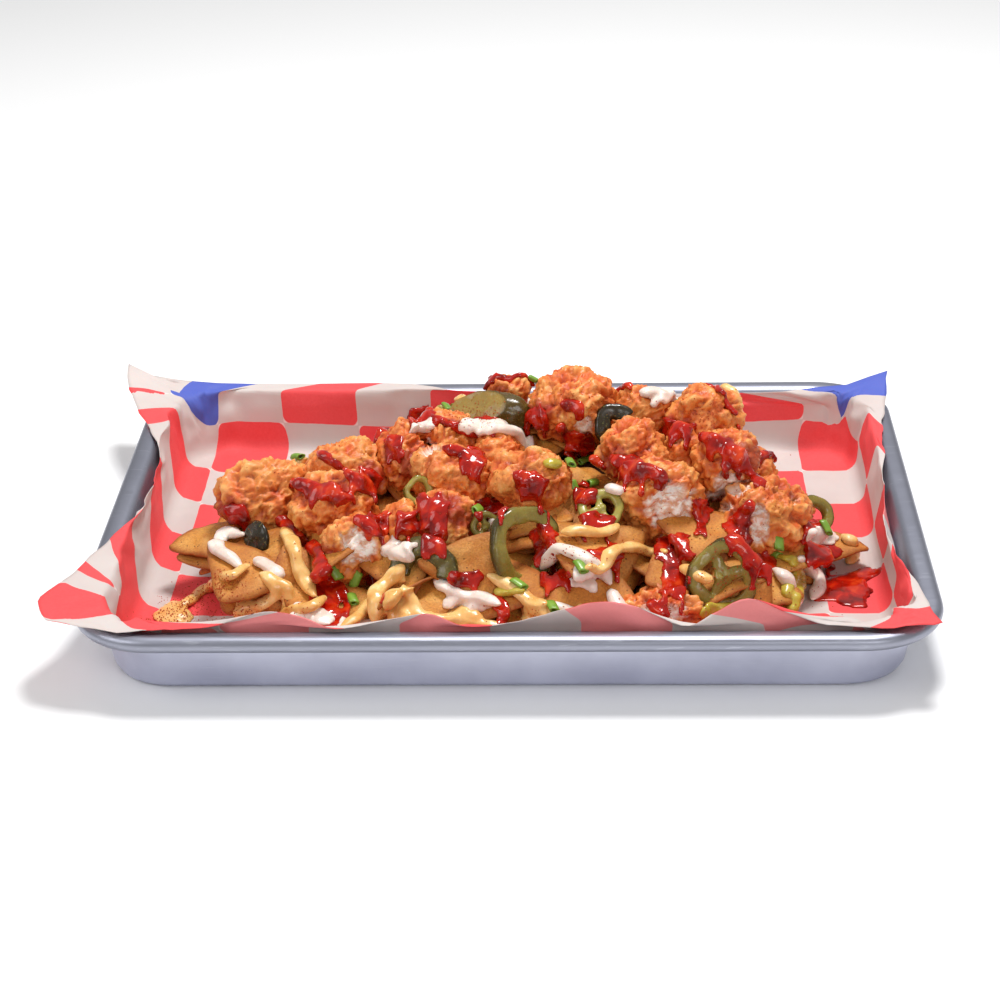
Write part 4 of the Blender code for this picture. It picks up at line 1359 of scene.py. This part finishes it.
def onion_solid(length, radius, seed):
    """A short cut of spring onion: an open tube, a little squashed and ragged."""
    rng = random.Random(seed)
    sides, rows = 20, 7
    inner = radius * 0.62
    points = []
    for r in (radius, inner):
        for k in range(rows):
            x = (k / (rows - 1) - 0.5) * length
            for i in range(sides):
                a = math.tau * i / sides
                wave = 1 + 0.07 * math.sin(3 * a + seed) + 0.03 * math.sin(7 * a)
                slant = 0.25 * radius * math.cos(a) * (abs(x) * 2 / length)
                points.append((x + slant, r * wave * math.cos(a), 0.62 * r * wave * math.sin(a)))
    points = np.array(points)
    points[:, 2] += -0.02 * points[:, 0] ** 2 + rng.uniform(-0.1, 0.1)
    faces = []
    wall = rows * sides
    for k in range(rows - 1):
        for i in range(sides):
            j = (i + 1) % sides
            a, b, c, d = k * sides + i, k * sides + j, (k + 1) * sides + j, (k + 1) * sides + i
            faces += [(a, c, b), (a, d, c), (wall + a, wall + b, wall + c),
                      (wall + a, wall + c, wall + d)]
    for row in (0, rows - 1):
        for i in range(sides):
            j = (i + 1) % sides
            a, b = row * sides + i, row * sides + j
            quad = [(a, b, wall + b), (a, wall + b, wall + a)]
            faces += quad if row == 0 else [f[::-1] for f in quad]
    return points, np.array(faces)


def make_onion(food, mat):
    solids = []

    def put(place, normal, length, turn, seed):
        points, faces = onion_solid(length, 1.9, seed)
        up = Vector(normal).lerp(Vector((0, 0, 1)), 0.3).normalized()
        spin = up.to_track_quat("Z", "X").to_matrix() @ Matrix.Rotation(turn, 3, "Z")
        solids.append((points @ np.array(spin).T + place + np.array(up) * 1.0, faces))

    for number, (x, h, length, turn) in enumerate(ONIONS):
        found = food.hit(x, h)
        if found is not None:
            put(*found, length, math.radians(turn), number)
    rng = random.Random(8)
    for number in range(16):
        found = food.below(rng.uniform(-95, 100), rng.uniform(15, 70))
        if found is not None:
            put(*found, rng.uniform(4, 7), rng.uniform(0, 3), 50 + number)
    points, faces = joined(solids)
    add_piece("spring_onion", points, faces, mat)


# Dust: x, h, half sizes as seen, and how many grains.
DUSTED = (
    (-142, -24, 12, 9, 260), (-128, -16, 14, 9, 240), (-112, -27, 26, 7, 300),
    (-152, -30, 16, 5, 140), (-120, -10, 8, 6, 90), (-15, 66, 14, 7, 150), (25, 68, 12, 9, 80),
    (87, -8, 12, 13, 130), (62, -24, 14, 6, 60), (78, 65, 9, 8, 90), (20, -2, 12, 8, 80),
    (-30, 40, 30, 20, 90), (60, 10, 40, 20, 90), (-80, 20, 30, 24, 80), (5, -26, 22, 6, 60),
    (105, 28, 14, 10, 50), (125, -18, 14, 9, 40))


def make_dust(food, mat):
    rng = random.Random(21)
    solids = []
    corners = np.array([(1, 0, 0), (-0.5, 0.8, 0), (-0.4, -0.8, 0), (0, 0, 0.8), (0, 0, -0.4)])
    faces = np.array([(0, 1, 3), (1, 2, 3), (2, 0, 3), (1, 0, 4), (2, 1, 4), (0, 2, 4)])

    def grain(found, size):
        place, normal = found
        spin = Euler([rng.uniform(0, 6.28) for _ in range(3)]).to_matrix()
        solids.append((corners * size @ np.array(spin).T + place + normal * size * 0.3, faces))

    for x, h, half_x, half_h, count in DUSTED:
        for _ in range(count):
            found = food.hit(rng.gauss(x, half_x * 0.5), rng.gauss(h, half_h * 0.5))
            if found is not None:
                grain(found, rng.uniform(0.15, 0.5))
    for _ in range(500):
        found = food.below(rng.uniform(-120, 125), rng.uniform(-20, 95))
        if found is not None:
            grain(found, rng.uniform(0.2, 0.5))
    points, faces = joined(solids)
    dust = add_piece("paprika", points, faces, mat)
    dust.data.shade_flat()


def make_floor():
    mesh = bpy.data.meshes.new("floor")
    size = 4.0
    mesh.from_pydata([(-size, -size, 0), (size, -size, 0), (size, size, 0), (-size, size, 0)],
                     [], [(0, 1, 2, 3)])
    mesh.materials.append(floor_material())
    floor = bpy.data.objects.new("floor", mesh)
    SCENE.collection.objects.link(floor)


def build():
    add_camera()
    add_lights()
    make_floor()
    food = Food()
    make_pan(aluminium())
    _, paper_points, paper_faces = make_paper(paper("checked_paper", 1.0),
                                              paper("paper_back", 0.72))
    food.add(paper_points, paper_faces)
    corn = fried_corn()
    core_points, core_faces = make_core(heap_core())
    food.add(core_points, core_faces)
    make_chips(food, corn)
    make_lone_chips(food, corn)
    make_chicken(food, fried_crust())
    peppers = {
        "dark": pickled_pepper("pepper_dark", linear(64, 54, 14), linear(142, 126, 54)),
        "light": pickled_pepper("pepper_light", linear(104, 94, 28), linear(166, 154, 74)),
        "black": pickled_pepper("pepper_black", linear(36, 28, 12), linear(66, 54, 22))}
    make_slices(food, peppers)
    make_pickle(food, pickled_pepper("pepper_chunk", linear(84, 66, 24), linear(152, 124, 62)))
    make_red(food, wet_sauce("red_sauce", linear(112, 8, 4), linear(184, 26, 8),
                             linear(226, 78, 30), 0.12))
    make_white(food, wet_sauce("white_sauce", linear(222, 200, 186), linear(240, 226, 214),
                               linear(250, 240, 230), 0.3))
    make_cheese(food, wet_sauce("cheese_sauce", linear(222, 162, 84), linear(240, 194, 120),
                                linear(250, 220, 160), 0.26))
    make_mustard(food, wet_sauce("mustard_sauce", linear(160, 138, 36), linear(190, 170, 58),
                                 linear(208, 190, 90), 0.22))
    make_onion(food, plain_speckled("spring_onion", linear(84, 136, 30), linear(150, 184, 70),
                                    3.0, 0.3))
    make_dust(food, plain_speckled("paprika", linear(150, 46, 14), linear(206, 92, 34), 2.0, 0.8))


build()
